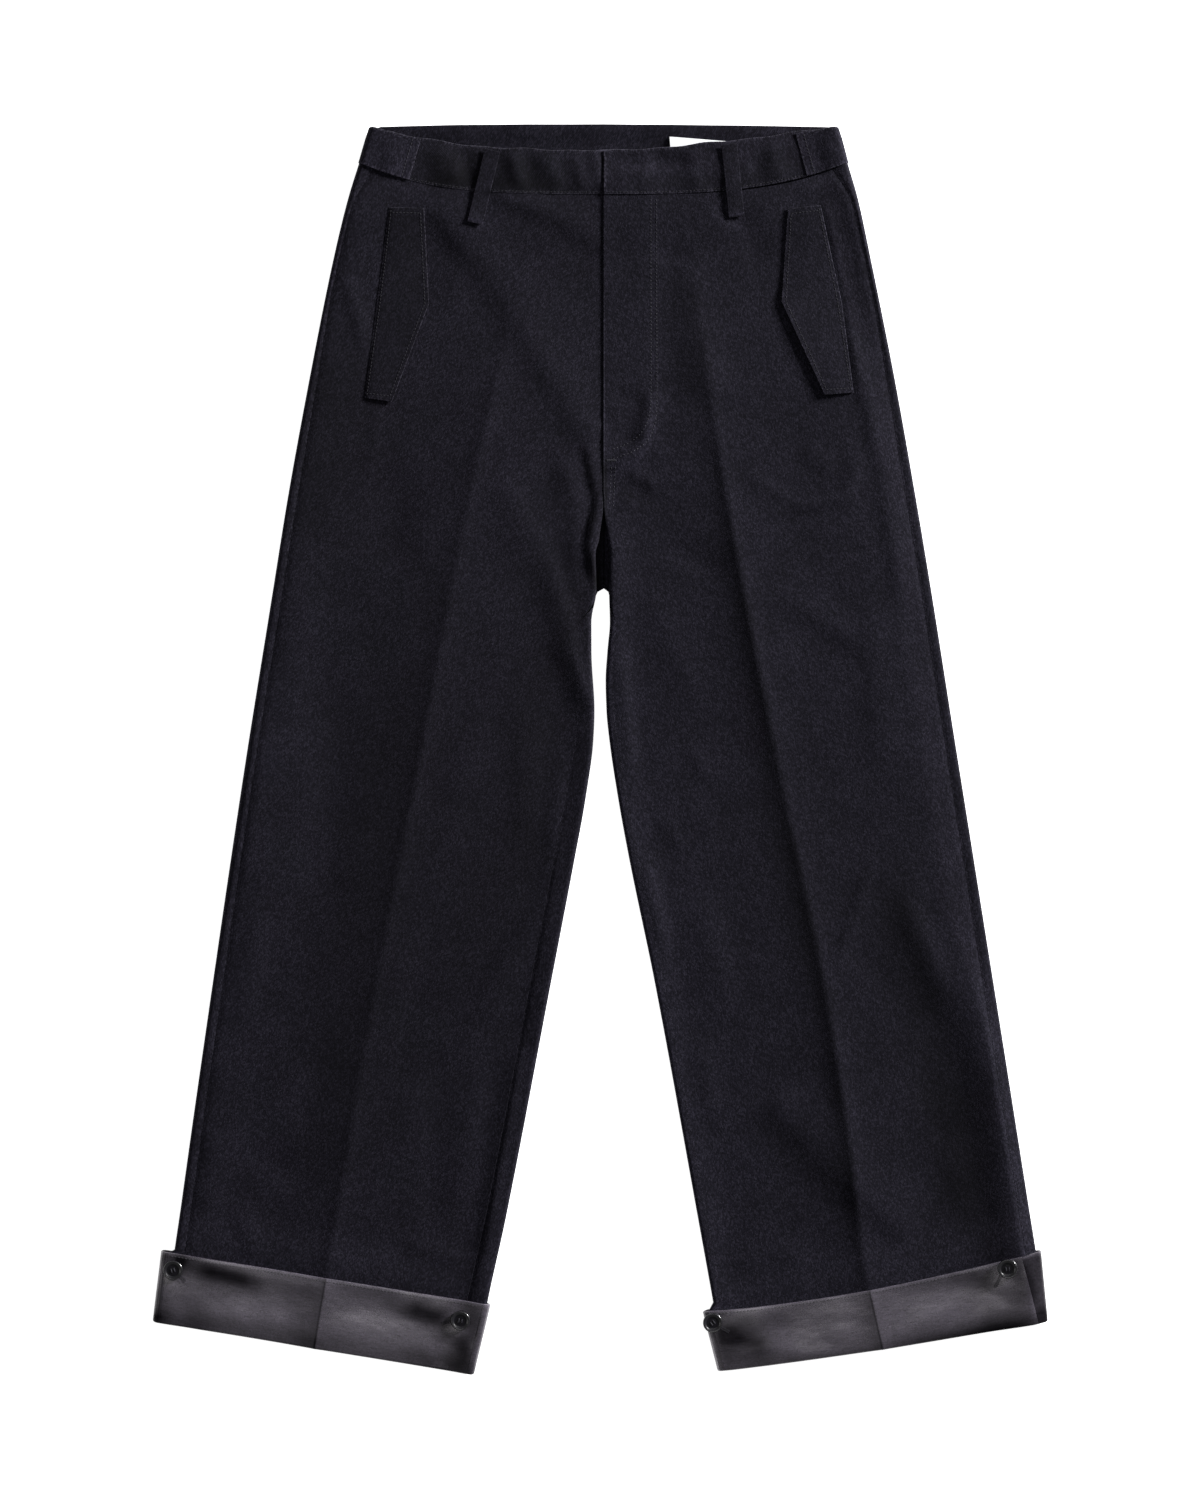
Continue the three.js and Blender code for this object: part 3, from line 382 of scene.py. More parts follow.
# Small pinches along the seams: (x, down, run in x, run in down, half-width, height)
PINCHES = [
    (-96, 40, -10, 14, 3.0, -0.5), (-70, 46, 5, 12, 3.5, 0.4), (-44, 44, -6, 13, 3.2, -0.4),
    (-18, 42, 5, 14, 3.0, 0.4), (20, 44, 8, 12, 3.4, -0.5), (46, 42, -6, 15, 3.0, 0.4),
    (78, 38, 8, 13, 3.2, -0.5), (94, 34, 4, 14, 2.8, 0.4), (122, 32, 7, 12, 3.5, -0.4),
    (-120, 34, -6, 12, 3.0, 0.4), (-134, 30, 5, 11, 3.0, -0.4), (138, 30, -5, 12, 3.2, 0.4),
    (-12, 240, 22, 10, 4.0, -0.5), (14, 262, 20, 8, 4.0, -0.5), (34, 232, 18, -6, 4.5, 0.4),
    (-16, 282, -20, 12, 5.0, 0.5), (18, 296, 26, 16, 6.0, -0.35),
]

# %% [markdown]
# ## Curves and heights
# A smooth curve runs through each table with no overshoot, as a flexible rule does on a pattern.
# The height of the cloth is a sum: the layer below, the swell at each fold, the pressed crease, and
# the folds. All of it works on whole arrays at once, which keeps the script quick.

# %% Curves
def curve_through(rows):
    knots = np.array([row[0] for row in rows], float)
    places = np.array([row[1] for row in rows], float)
    steps = np.diff(places) / np.diff(knots)
    tangents = np.empty(len(rows))
    tangents[0], tangents[-1] = steps[0], steps[-1]
    before, after = steps[:-1], steps[1:]
    same = before * after > 0
    tangents[1:-1] = np.where(same, 2 * before * after / np.where(same, before + after, 1), 0)

    def curve(down):
        down = np.asarray(down, float)
        k = np.clip(np.searchsorted(knots, down, side="right") - 1, 0, len(knots) - 2)
        run = knots[k + 1] - knots[k]
        t = np.clip((down - knots[k]) / run, 0, 1)
        rise = places[k + 1] - places[k]
        bends = run * (tangents[k] * t * (1 - t) ** 2 + tangents[k + 1] * t * t * (t - 1))
        inside = places[k] + rise * t * t * (3 - 2 * t) + bends
        before_first = tangents[0] * np.minimum(down - knots[0], 0)
        past_last = tangents[-1] * np.maximum(down - knots[-1], 0)
        return inside + before_first + past_last

    return curve


outer_at = {side: curve_through(OUTER_EDGE[side]) for side in SIGN}
inner_at = {side: curve_through(INNER_EDGE[side]) for side in SIGN}
crease_at = {side: curve_through(CREASE[side]) for side in SIGN}
side_seam_at = curve_through(SIDE_SEAM)


def smooth(value, start, end):
    t = np.clip((value - start) / (end - start), 0, 1)
    return t * t * (3 - 2 * t)


def mix(a, b, share):
    return a + (b - a) * share


def hump(distance, reach):
    """1 at no distance, falling off smoothly over the reach."""
    return np.exp(-((distance / reach) ** 2))


def both(curves, x, down):
    """Reads the curve of whichever side each point is on."""
    return np.where(x < 0, curves["right"](down), curves["left"](down))


# %% Heights of the layers below
def cuff_top_down(x):
    found = {}
    for side in SIGN:
        top = CUFF[side]["top"]
        share = np.clip((np.abs(x) - top["inner"]) / (top["outer"] - top["inner"]), 0, 1)
        found[side] = top["inner_down"] - (top["inner_down"] - top["outer_down"]) * share ** top["bend"]
    return np.where(x < 0, found["right"], found["left"])


def floor_height(x, down):
    over_loops = LOOP_LIFT * (1 - smooth(down, *LOOPS_END))
    return over_loops + CUFF_STAND * (1 - smooth(cuff_top_down(x) - down, *CUFF_CLIMB))


def no_floor(x, down):
    return np.zeros_like(x, float)


# %% Folds and tones at a point
def fold_columns(rows, depth=1.0):
    """The columns of a table of folds, as arrays, so that all of them are worked out at once."""
    flat = [[*start, *end, left, right, height * depth] for start, end, left, right, height in rows]
    return np.array(flat).T


def folds_at(columns, x, down):
    """A fold is full along its line and fades to both sides, at its own rate on each."""
    start_x, start_down, end_x, end_down, left, right, height = columns
    x, down = np.asarray(x, float)[..., None], np.asarray(down, float)[..., None]
    run_x, run_down = end_x - start_x, end_down - start_down
    run = np.hypot(run_x, run_down)
    share = ((x - start_x) * run_x + (down - start_down) * run_down) / run**2
    across = ((x - start_x) * run_down - (down - start_down) * run_x) / run
    past = np.maximum(np.abs(share - 0.5) - 0.5, 0) * run
    width = np.where(across < 0, left, right)
    fade = smooth(np.minimum(share, 1 - share), -0.22, 0.3)
    return (height * np.exp(-((across / width) ** 2) - (past / (1.5 * width)) ** 2) * fade).sum(axis=-1)


PINCH_ROWS = [
    ((x, down), (x + run_x, down + run_down), width, width * 1.3, height)
    for x, down, run_x, run_down, width, height in PINCHES
]
PANEL_FOLDS = np.concatenate([fold_columns(FOLDS, FOLD_DEPTH), fold_columns(PINCH_ROWS)], axis=1)
BAND_PUCKERS = fold_columns(BAND_FOLDS, PUCKER_DEPTH)
LEG_LIGHT_COLUMNS, BAND_SHADE_COLUMNS, SATIN_SHEEN_COLUMNS = map(fold_columns, (LEG_PAINTED_LIGHT, BAND_PAINTED_SHADE, SATIN_PAINTED_SHEEN))


def edge_distances(x, down):
    """How far a place lies in from the outer fold and from the inner one."""
    from_outer = np.maximum(0, both(outer_at, x, down) - np.abs(x))
    from_inner = np.maximum(0, np.abs(x) - both(inner_at, x, down))
    return from_outer, from_inner


def even(x, down):
    """The tone of a piece with no patches."""
    return np.zeros_like(x)


def leg_light_and_wear(x, down):
    """Painted light and shade on the legs, and the folded edges, which are paler from wear and from painted
    light.
    """
    from_outer, from_inner = edge_distances(x, down)
    from_rubbed_and_lit = np.where(x < 0, from_outer, np.where(down > CROTCH, from_inner, FAR))
    tone, reach = WORN_AND_LIT_FOLD
    return folds_at(LEG_LIGHT_COLUMNS, x, down) + tone * hump(from_rubbed_and_lit, reach)


# Painted shade on the waistband
def band_painted_shade(x, down):
    return folds_at(BAND_SHADE_COLUMNS, x, down)


def tab_fade(x, down):
    return np.full_like(x, TAB_TONE)


# Painted shade on the flaps
def flap_painted_shade(x, down):
    return np.where(x < 0, FLAP_PAINTED_SHADE["right"], FLAP_PAINTED_SHADE["left"])


def above_cuff_fold(x, down):
    return np.maximum(cuff_top_down(x) + CUFF_FOLD - down, 0)


def satin_painted_sheen(x, down):
    """Painted shade where the satin turns under at the fold and along the crease, a painted highlight along
    its top edge, and the painted sheen of the table.
    """
    top_edge = SATIN_TOP[0] * hump(down - cuff_top_down(x) - SATIN_TOP_LINE, SATIN_TOP[1])
    turn = SATIN_TURN_SHADE[0] * hump(above_cuff_fold(x, down), SATIN_TURN_SHADE[1])
    crease = SATIN_CREASE_SHADE[0] * hump(np.abs(x) - both(crease_at, x, down), SATIN_CREASE_SHADE[1])
    return folds_at(SATIN_SHEEN_COLUMNS, x, down) - (turn + crease) + top_edge


def back_satin_painted_sheen(x, down):
    """On the wearer's left the satin is made darker and duller towards the outer fold."""
    return satin_painted_sheen(x, down) - DULL_END["tone"] * smooth(x, *DULL_END["grows"])


# %% Height of the front
def crease_ridge(x, down):
    away = np.abs(x) - both(crease_at, x, down)
    waver = (1 - RIDGE_WAVER) + RIDGE_WAVER * np.sin(down / 61 + np.sign(x))
    grown = smooth(down, CREASE_START, CREASE_FULL) * waver
    reach = np.where(
        x < 0,
        np.where(away > 0, *RIDGE_REACH["right"]),
        np.where(away > 0, *RIDGE_REACH["left"]),
    )
    far = np.sqrt(away**2 + 1.4) - 1.2  # the root rounds the ridge's top
    return RIDGE_RISE * grown * (0.8 * np.exp(-far / reach) + 0.2 * np.exp(-far / 5))


def outer_swell(x, down, from_outer):
    """On the wearer's right a long easy slope; on the left a rounded shoulder inside the edge."""
    knee = smooth(down, *KNEE[0]) * (1 - smooth(down, *KNEE[1]))
    slope_rise = EDGE_RISE + LONG_SLOPE["rise"] + LONG_SLOPE["knee_rise"] * knee
    long_slope = slope_rise * hump(from_outer, LONG_SLOPE["reach"])
    lower = smooth(down, *LOWER_LEG)
    inset, rise, inner_reach, outer_reach = (mix(*ends, lower) for ends in SHOULDER.values())
    past = from_outer - inset
    grown = smooth(down, *HIP)
    shoulder = rise * grown * hump(past, np.where(past > 0, inner_reach, outer_reach))
    edge = EDGE_RISE * (1 - 0.6 * grown) * hump(from_outer, EDGE_REACH)
    return np.where(x < 0, long_slope, shoulder + edge)


def front_height(x, down):
    from_outer, from_inner = edge_distances(x, down)
    return (
        floor_height(x, down)
        + VALLEY
        + WAIST_PUFF * (1 - smooth(down, *PUFF_END))
        + outer_swell(x, down, from_outer)
        + EDGE_RISE * smooth(down, *PARTED) * hump(from_inner, EDGE_REACH)
        + crease_ridge(x, down)
        + folds_at(PANEL_FOLDS, x, down)
    )


def lapped(side, x, down, rise):
    """The left half lies over the right half at the fly, which sinks a little under it."""
    above_end = 1 - smooth(down, FLY["fade_from"], FLY["fade_to"])
    if side == "left":
        along = smooth(down, *FLY["edge_grows"]) * (1 - smooth(down, *FLY["edge_ends"]))
        edge = FLY["edge_rise"] * hump(x, FLY["edge_reach"]) * along
        return rise * (1 - smooth(x, FLY["full"], FLY["fade"])) * above_end + edge
    return -LAP_DIP * rise * smooth(x, -1.5, 1.5) * above_end


def panel_height(side):
    return lambda x, down: front_height(x, down) + lapped(side, x, down, FLY["panel_raise"])


def band_height(side):
    def height(x, down):
        raised = front_height(x, down) + BAND_PROUD + lapped(side, x, down, FLY["band_raise"])
        return raised + folds_at(BAND_PUCKERS, x, down)

    return height


def cuff_height(x, down):
    return front_height(x, down) + CUFF_STAND


probe_x, probe_down = np.array([-150.0, 150.0]), np.array([500.0, 500.0])
print("height of the front at mid leg, mm:", front_height(probe_x, probe_down).round(1))

# %% [markdown]
# ## A line across the garment
# Each cloth piece is sampled on lines that run from the side fold to the centre. A line knows how
# to give points on the front, on the back, and round either fold, with the way the cloth faces.
# A real trouser leg is a flattened tube, and a line is one section through that tube.

# %% The Line
EDGE_PROBE = 3.0  # a fold is as thick as the garment is this far in from its edge
ROUND = np.linspace(0, 180, 13)[1:]  # degrees round a fold


def in_part(x, down, z):
    """Points of the part from distances off the centre line, down from the waist, and up."""
    return np.stack(np.broadcast_arrays(CENTRE_X + x, LENGTH / 2 - down, z), axis=-1)


class Line:
    def __init__(self, side, outer, inner, back, bend, height_at, floor_at):
        self.side, self.outer, self.inner, self.back, self.bend = side, outer, inner, back, bend
        self.height_at, self.floor_at = height_at, floor_at
        self.width = math.hypot(outer[0] - inner[0], outer[1] - inner[1])
        near, far = np.array([EDGE_PROBE]), np.array([self.width - EDGE_PROBE])
        self.outer_radius = float((self.height(near) - self.floor(near))[0] / 2)
        self.inner_radius = float((self.height(far) - self.floor(far))[0] / 2)
        first, tenth = self.to_part(np.array([0.0, 10.0]), np.zeros(2))[:, :2]
        outward = first - tenth
        self.outward = outward / np.linalg.norm(outward)

    def place(self, s, inner_down=None):
        inner_down = self.inner[1] if inner_down is None else inner_down
        share = np.maximum(0, 1 - s / self.width)
        x = self.outer[0] + (self.inner[0] - self.outer[0]) * s / self.width
        return x, inner_down - (inner_down - self.outer[1]) * share**self.bend

    def height(self, s):
        x, down = self.place(s)
        return self.height_at(SIGN[self.side] * x, down)

    def floor(self, s):
        x, down = self.place(s, self.back)
        return self.floor_at(SIGN[self.side] * x, down)

    def to_part(self, s, z, inner_down=None):
        x, down = self.place(s, inner_down)
        return in_part(SIGN[self.side] * x, down, z)

    def on_front(self, s):
        s = np.atleast_1d(np.asarray(s, float))
        return self.to_part(s, self.height(s)), np.tile([0.0, 0.0, 1.0], (len(s), 1))

    def on_back(self, s):
        s = np.atleast_1d(np.asarray(s, float))
        return self.to_part(s, self.floor(s), self.back), np.tile([0.0, 0.0, -1.0], (len(s), 1))

    def round_fold(self, centre_s, top_z, radius, sign, degrees):
        angle = np.radians(np.atleast_1d(np.asarray(degrees, float)))
        across = sign * np.sin(angle)
        out = np.stack([across * self.outward[0], across * self.outward[1], np.cos(angle)], axis=-1)
        centre = self.to_part(np.array([centre_s]), np.array([top_z - radius]))[0]
        return centre + out * radius, out

    def outer_fold(self, degrees):
        radius = self.outer_radius
        top = float(self.floor(np.array([radius]))[0]) + 2 * radius
        return self.round_fold(radius, top, radius, 1, degrees)

    def inner_fold(self, degrees, radius=None):
        radius = self.inner_radius if radius is None else radius
        top = float(self.height(np.array([self.width - EDGE_PROBE]))[0])
        return self.round_fold(self.width - radius, top, radius, -1, degrees)


def join(*parts):
    return np.concatenate([p[0] for p in parts]), np.concatenate([p[1] for p in parts])


# %% The lines of one leg
def cuff_ends(side, above):
    cuff = CUFF[side]
    share = above / cuff["height"]
    at = {key: mix(cuff["fold"][key], cuff["top"][key], share) for key in cuff["top"]}
    return (at["outer"], at["outer_down"]), (at["inner"], at["inner_down"]), at["bend"]


def leg_lines(side, spacing):
    """Lines down a leg, about spacing apart, then the few that run inside the turn-up."""
    table = np.array(LEG_ROWS, float)
    lines = []
    for k in range(len(table) - 1):
        count = max(2, round((table[k + 1][1] - table[k][1]) / spacing))
        for step in range(count):
            lines.append(mix(table[k], table[k + 1], step / count))
    lines.append(table[-1])
    made = []
    for row in lines:
        facts = dict(zip(LEG_KEYS, row))
        outer = (float(outer_at[side](facts["outer"])), facts["outer"])
        inner = (float(inner_at[side](facts["inner"])), facts["inner"])
        line = Line(side, outer, inner, facts["back"], facts["bend"], panel_height(side), floor_height)
        line.facts = facts
        made.append(line)
    for above in np.linspace(CUFF[side]["height"] - spacing, CUFF_TUCK + 0.8, 9):
        outer, inner, bend = cuff_ends(side, above)
        slope = (inner[1] - outer[1]) / (outer[0] - inner[0])
        outer = (outer[0] - CUFF_STAND, outer[1] + CUFF_STAND * slope)
        inner = (inner[0] + CUFF_STAND, inner[1] - CUFF_STAND * slope)
        line = Line(side, outer, inner, inner[1], bend, panel_height(side), floor_height)
        line.facts = dict(roll=0, wrap=180, inset=1, tight=0, inner=inner[1])
        made.append(line)
    return made


SPACING = 3.4
LEG_LINES = {side: leg_lines(side, SPACING) for side in SIGN}
print("lines to a leg:", {side: len(lines) for side, lines in LEG_LINES.items()})

# %% [markdown]
# ## From a grid of points to a cloth shell
# A grid gives the outer face. The inner face is the same grid moved in along the normals, and a
# rounded rim closes the two, as a turned edge does on real cloth. The UV map is laid out in metres
# along the cloth, so a weave drawn on it has its real size and bends with the piece.
# The measured area of the grid is also the cut that a maker would lay out on the table.

# %% Grid helpers
def spaced(start, end, spacing, edge=0):
    """Stops from start to end; edge adds close ones near both ends, where cloth turns."""
    length = abs(end - start)
    count = max(2, int(round(length / spacing)))
    stops = np.linspace(start, end, count + 1)
    if edge:
        near = np.array([0.6, 1.5, 2.6]) * edge * np.sign(end - start)
        stops = np.concatenate([stops, start + near, end - near])
        stops = np.sort(stops) if end > start else np.sort(stops)[::-1]
    return stops


def grid_normals(grid):
    down, across = np.gradient(grid, axis=0), np.gradient(grid, axis=1)
    normals = np.cross(across, down)
    return normals / np.maximum(np.linalg.norm(normals, axis=2, keepdims=True), 1e-9)


def grid_uv(grid, zero_column):
    """Distances along the cloth: across from one column, and down that column."""
    across = np.linalg.norm(np.diff(grid, axis=1), axis=2)
    u = np.concatenate([np.zeros((len(grid), 1)), np.cumsum(across, axis=1)], axis=1)
    u -= u[:, zero_column : zero_column + 1]
    fall = np.linalg.norm(np.diff(grid[:, zero_column], axis=0), axis=1)
    v = np.concatenate([[0], np.cumsum(fall)])
    return np.stack([u, np.repeat(v[:, None], grid.shape[1], axis=1)], axis=2)


def cut_size(grid):
    """Width, length and area of the flat cut, in metres."""
    across = np.linalg.norm(np.diff(grid, axis=1), axis=2).sum(axis=1).max()
    along = np.linalg.norm(np.diff(grid, axis=0), axis=2).sum(axis=0).max()
    side_a, side_b = grid[1:, 1:] - grid[:-1, :-1], grid[1:, :-1] - grid[:-1, 1:]
    area = 0.5 * np.linalg.norm(np.cross(side_a, side_b), axis=2).sum()
    return float(across * MM), float(along * MM), float(area * MM * MM)


# %% The shell
def rim_of(rows, columns):
    top = [(0, j) for j in range(columns)]
    right = [(i, columns - 1) for i in range(1, rows)]
    bottom = [(rows - 1, j) for j in range(columns - 2, -1, -1)]
    left = [(i, 0) for i in range(rows - 2, 0, -1)]
    return top + right + bottom + left


def edge_way(grid, i, j):
    """The way out of the cloth at a point of its rim, along its surface."""
    rows, columns = grid.shape[:2]
    way = np.zeros(3)
    if j == 0:
        way += grid[i, 0] - grid[i, 1]
    if j == columns - 1:
        way += grid[i, -1] - grid[i, -2]
    if i == 0:
        way += grid[0, j] - grid[1, j]
    if i == rows - 1:
        way += grid[-1, j] - grid[-2, j]
    return way / max(np.linalg.norm(way), 1e-9)


def edge_wear_and_highlight(grid, reach=1.6):
    """1 at the edges of the cloth, fading inwards: wear where black dye rubs off first, and a painted
    highlight.
    """
    across = np.linalg.norm(np.diff(grid, axis=1), axis=2)
    u = np.concatenate([np.zeros((len(grid), 1)), np.cumsum(across, axis=1)], axis=1)
    down = np.linalg.norm(np.diff(grid, axis=0), axis=2)
    v = np.concatenate([np.zeros((1, grid.shape[1])), np.cumsum(down, axis=0)], axis=0)
    distance = np.minimum(np.minimum(u, u[:, -1:] - u), np.minimum(v, v[-1:] - v))
    return np.exp(-distance / reach)


def cloth_shell(name, grid, facing, sink, lift=0.0, round_edge=0.18, zero_column=0, worn_and_lit_edge=0.4, fade=even):
    """A grid in millimetres made into a piece of cloth, sink thick below it and lift above it.

    facing is 1 where across times down looks out of the cloth, and -1 where it looks in.
    Two stored attributes hold how rubbed the cloth is at each point, with a painted highlight on its edges,
    and its tone, which on most pieces is painted light and shade.
    """
    rows, columns = grid.shape[:2]
    normals = grid_normals(grid) * facing
    top, bottom = grid + normals * lift, grid - normals * sink
    rim = rim_of(rows, columns)
    bulge = round_edge * (lift + sink)
    middle = np.array([(top[p] + bottom[p]) / 2 + edge_way(grid, *p) * bulge for p in rim])
    points = np.concatenate([top.reshape(-1, 3), bottom.reshape(-1, 3), middle]) * MM
    index = np.arange(rows * columns).reshape(rows, columns)
    a, b = index[:-1, :-1].ravel(), index[:-1, 1:].ravel()
    c, d = index[1:, 1:].ravel(), index[1:, :-1].ravel()
    outside = np.stack([a, b, c, d], axis=1)
    inside = np.stack([d, c, b, a], axis=1) + rows * columns
    loop = np.array([index[p] for p in rim])
    follow = np.roll(loop, -1)
    ring = np.arange(len(rim)) + 2 * rows * columns
    ring_follow = np.roll(ring, -1)
    upper = np.stack([follow, loop, ring, ring_follow], axis=1)
    lower = np.stack([ring_follow, ring, loop + rows * columns, follow + rows * columns], axis=1)
    quads = np.concatenate([outside, inside, upper, lower])
    if facing < 0:
        quads = quads[:, ::-1]
    flat = grid_uv(grid, zero_column).reshape(-1, 2) * MM
    uv = np.concatenate([flat, flat, flat[loop]])
    mesh = bpy.data.meshes.new(name)
    mesh.from_pydata(points.tolist(), [], quads.tolist())
    layer = mesh.uv_layers.new(name="cloth")
    corners = np.empty(len(mesh.loops), dtype=np.int32)
    mesh.loops.foreach_get("vertex_index", corners)
    layer.data.foreach_set("uv", uv[corners].ravel())
    # Worn edges, partly a painted highlight; and the tone, mostly painted light and shade
    worn_and_lit = edge_wear_and_highlight(grid).ravel() * worn_and_lit_edge
    wear_and_highlight = mesh.attributes.new("wear_and_highlight", "FLOAT", "POINT")
    wear_and_highlight.data.foreach_set("value", np.concatenate([worn_and_lit, worn_and_lit * 0.5, np.full(len(rim), worn_and_lit_edge)]))
    tone = np.clip(fade(points[:, 0] / MM - CENTRE_X, LENGTH / 2 - points[:, 1] / MM), -1, 1)
    tone_and_painted_light = mesh.attributes.new("fade", "FLOAT", "POINT")
    tone_and_painted_light.data.foreach_set("value", 0.5 + 0.5 * tone)
    mesh.update()
    piece = bpy.data.objects.new(name, mesh)
    bpy.context.scene.collection.objects.link(piece)
    piece["cut"] = cut_size(grid)
    return piece


# %% [markdown]
# ## Finishing a piece
# Every piece does the same three things: it is smoothed but keeps its rims crisp, it rides on the
# one body of the part, and it replaces the CAD node that it stands for. Doing this in one helper
# means that none is forgotten.

# %% Finish helper
def select_only(piece):
    bpy.ops.object.select_all(action="DESELECT")
    piece.select_set(True)
    bpy.context.view_layer.objects.active = piece


def finish_piece(piece, material, nodes=(), degrees=50):
    select_only(piece)
    bpy.ops.object.shade_smooth_by_angle(angle=math.radians(degrees))
    piece.data.materials.clear()
    piece.data.materials.append(material)
    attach(piece, "root")
    if nodes:
        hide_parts(*nodes)
    return piece


def finish_cloth(piece, material, node):
    """Finishes a sheet of cloth and drops the flat size that was measured on its grid."""
    finish_piece(piece, material, [node])
    del piece["cut"]
    return piece


# %% [markdown]
# ## Denim
# Denim is a twill: its ribs climb at a steep slant, less than a millimetre apart. The cloth here is
# dyed black through and through, so the ribs show as relief more than as colour. Three things are
# layered on the UV map, which is in metres: the twill ribs, thicker and thinner yarns that run
# down the cloth, and soft patches where the dye took a little differently. The stored tone, which
# is mostly painted light and shade, and the stored wear, partly a painted highlight on edges, come on top.
# A picture of denim would do it too, but it would repeat, and it wouldn't follow a new size.

# %% Mixing a finish
def grey(value):
    return (value, value, value)


class Finish:
    """A material in the making. Each method adds a node or two and gives back what they put out."""

    def __init__(self, name, roughness, specular, sheen=0.0, sheen_roughness=0.5):
        self.material = bpy.data.materials.new(name)
        self.material.use_nodes = True
        self.nodes, self.links = self.material.node_tree.nodes, self.material.node_tree.links
        self.inputs = self.nodes["Principled BSDF"].inputs
        self.inputs["Roughness"].default_value = roughness
        self.inputs["Specular IOR Level"].default_value = specular
        self.inputs["Sheen Weight"].default_value = sheen
        self.inputs["Sheen Roughness"].default_value = sheen_roughness

    def feed(self, value, name):
        self.links.new(value, self.inputs[name])

    def along_cloth(self, turn=0.0, scale=(1, 1, 1)):
        """The piece's own UV map, in metres, turned and scaled."""
        uv = self.nodes.new("ShaderNodeUVMap")
        uv.uv_map = "cloth"
        mapping = self.nodes.new("ShaderNodeMapping")
        mapping.inputs["Rotation"].default_value = (0, 0, math.radians(turn))
        mapping.inputs["Scale"].default_value = scale
        self.links.new(uv.outputs["UV"], mapping.inputs["Vector"])
        return mapping.outputs["Vector"]

    def on_object(self):
        return self.nodes.new("ShaderNodeTexCoord").outputs["Object"]

    def painted(self, name):
        """A value that is stored at each point of the piece."""
        stored = self.nodes.new("ShaderNodeAttribute")
        stored.attribute_name = name
        return stored.outputs["Fac"]

    def ribs(self, place, period):
        """Parallel ribs, period metres apart."""
        wave = self.nodes.new("ShaderNodeTexWave")
        wave.wave_profile = "SIN"
        wave.inputs["Scale"].default_value = 2 * math.pi / (20 * period)
        self.links.new(place, wave.inputs["Vector"])
        return wave.outputs["Fac"]

    def speckle(self, place, scale, detail=2.0):
        noise = self.nodes.new("ShaderNodeTexNoise")
        noise.inputs["Scale"].default_value = scale
        noise.inputs["Detail"].default_value = detail
        self.links.new(place, noise.inputs["Vector"])
        return noise.outputs["Fac"]

    def grains(self, place, scale):
        """Small cells, each of its own value, as the cut ends and floats of yarns are."""
        cells = self.nodes.new("ShaderNodeTexVoronoi")
        cells.inputs["Scale"].default_value = scale
        self.links.new(place, cells.inputs["Vector"])
        channels = self.nodes.new("ShaderNodeSeparateColor")
        self.links.new(cells.outputs["Color"], channels.inputs["Color"])
        return channels.outputs["Red"]

    def ramp(self, value, *stops):
        """Colours that follow a value; each stop is a place on the ramp and its colour."""
        blend = self.nodes.new("ShaderNodeValToRGB")
        elements = blend.color_ramp.elements
        for element, (position, colour) in ((elements[0], stops[0]), (elements[1], stops[-1])):
            element.position, element.color = position, (*colour, 1)
        for position, colour in stops[1:-1]:
            elements.new(position).color = (*colour, 1)
        self.links.new(value, blend.inputs["Fac"])
        return blend.outputs["Color"]

    def blend(self, kind, first, *others):
        """The first colour with each of the others multiplied in or added."""
        for other in others:
            node = self.nodes.new("ShaderNodeMix")
            node.data_type = "RGBA"
            node.blend_type = kind
            node.inputs["Factor"].default_value = 1.0
            self.links.new(first, node.inputs[6])  # the first colour's socket
            self.links.new(other, node.inputs[7])
            first = node.outputs[2]
        return first

    def bump(self, height, distance, strength, under=None):
        node = self.nodes.new("ShaderNodeBump")
        node.inputs["Distance"].default_value = distance
        node.inputs["Strength"].default_value = strength
        self.links.new(height, node.inputs["Height"])
        if under is not None:
            self.links.new(under, node.inputs["Normal"])
        return node.outputs["Normal"]


# %% The denim
YARN_COLOURS = [  # of the cut ends and floats, from the darkest to the palest
    (0.05, (0.0046, 0.0041, 0.0075)), (0.55, (0.0088, 0.0078, 0.0136)), (0.98, (0.0200, 0.0182, 0.0282)),
]
YARN_GRAIN = 1150  # cells to a metre
TWILL = 0.00085  # from rib to rib


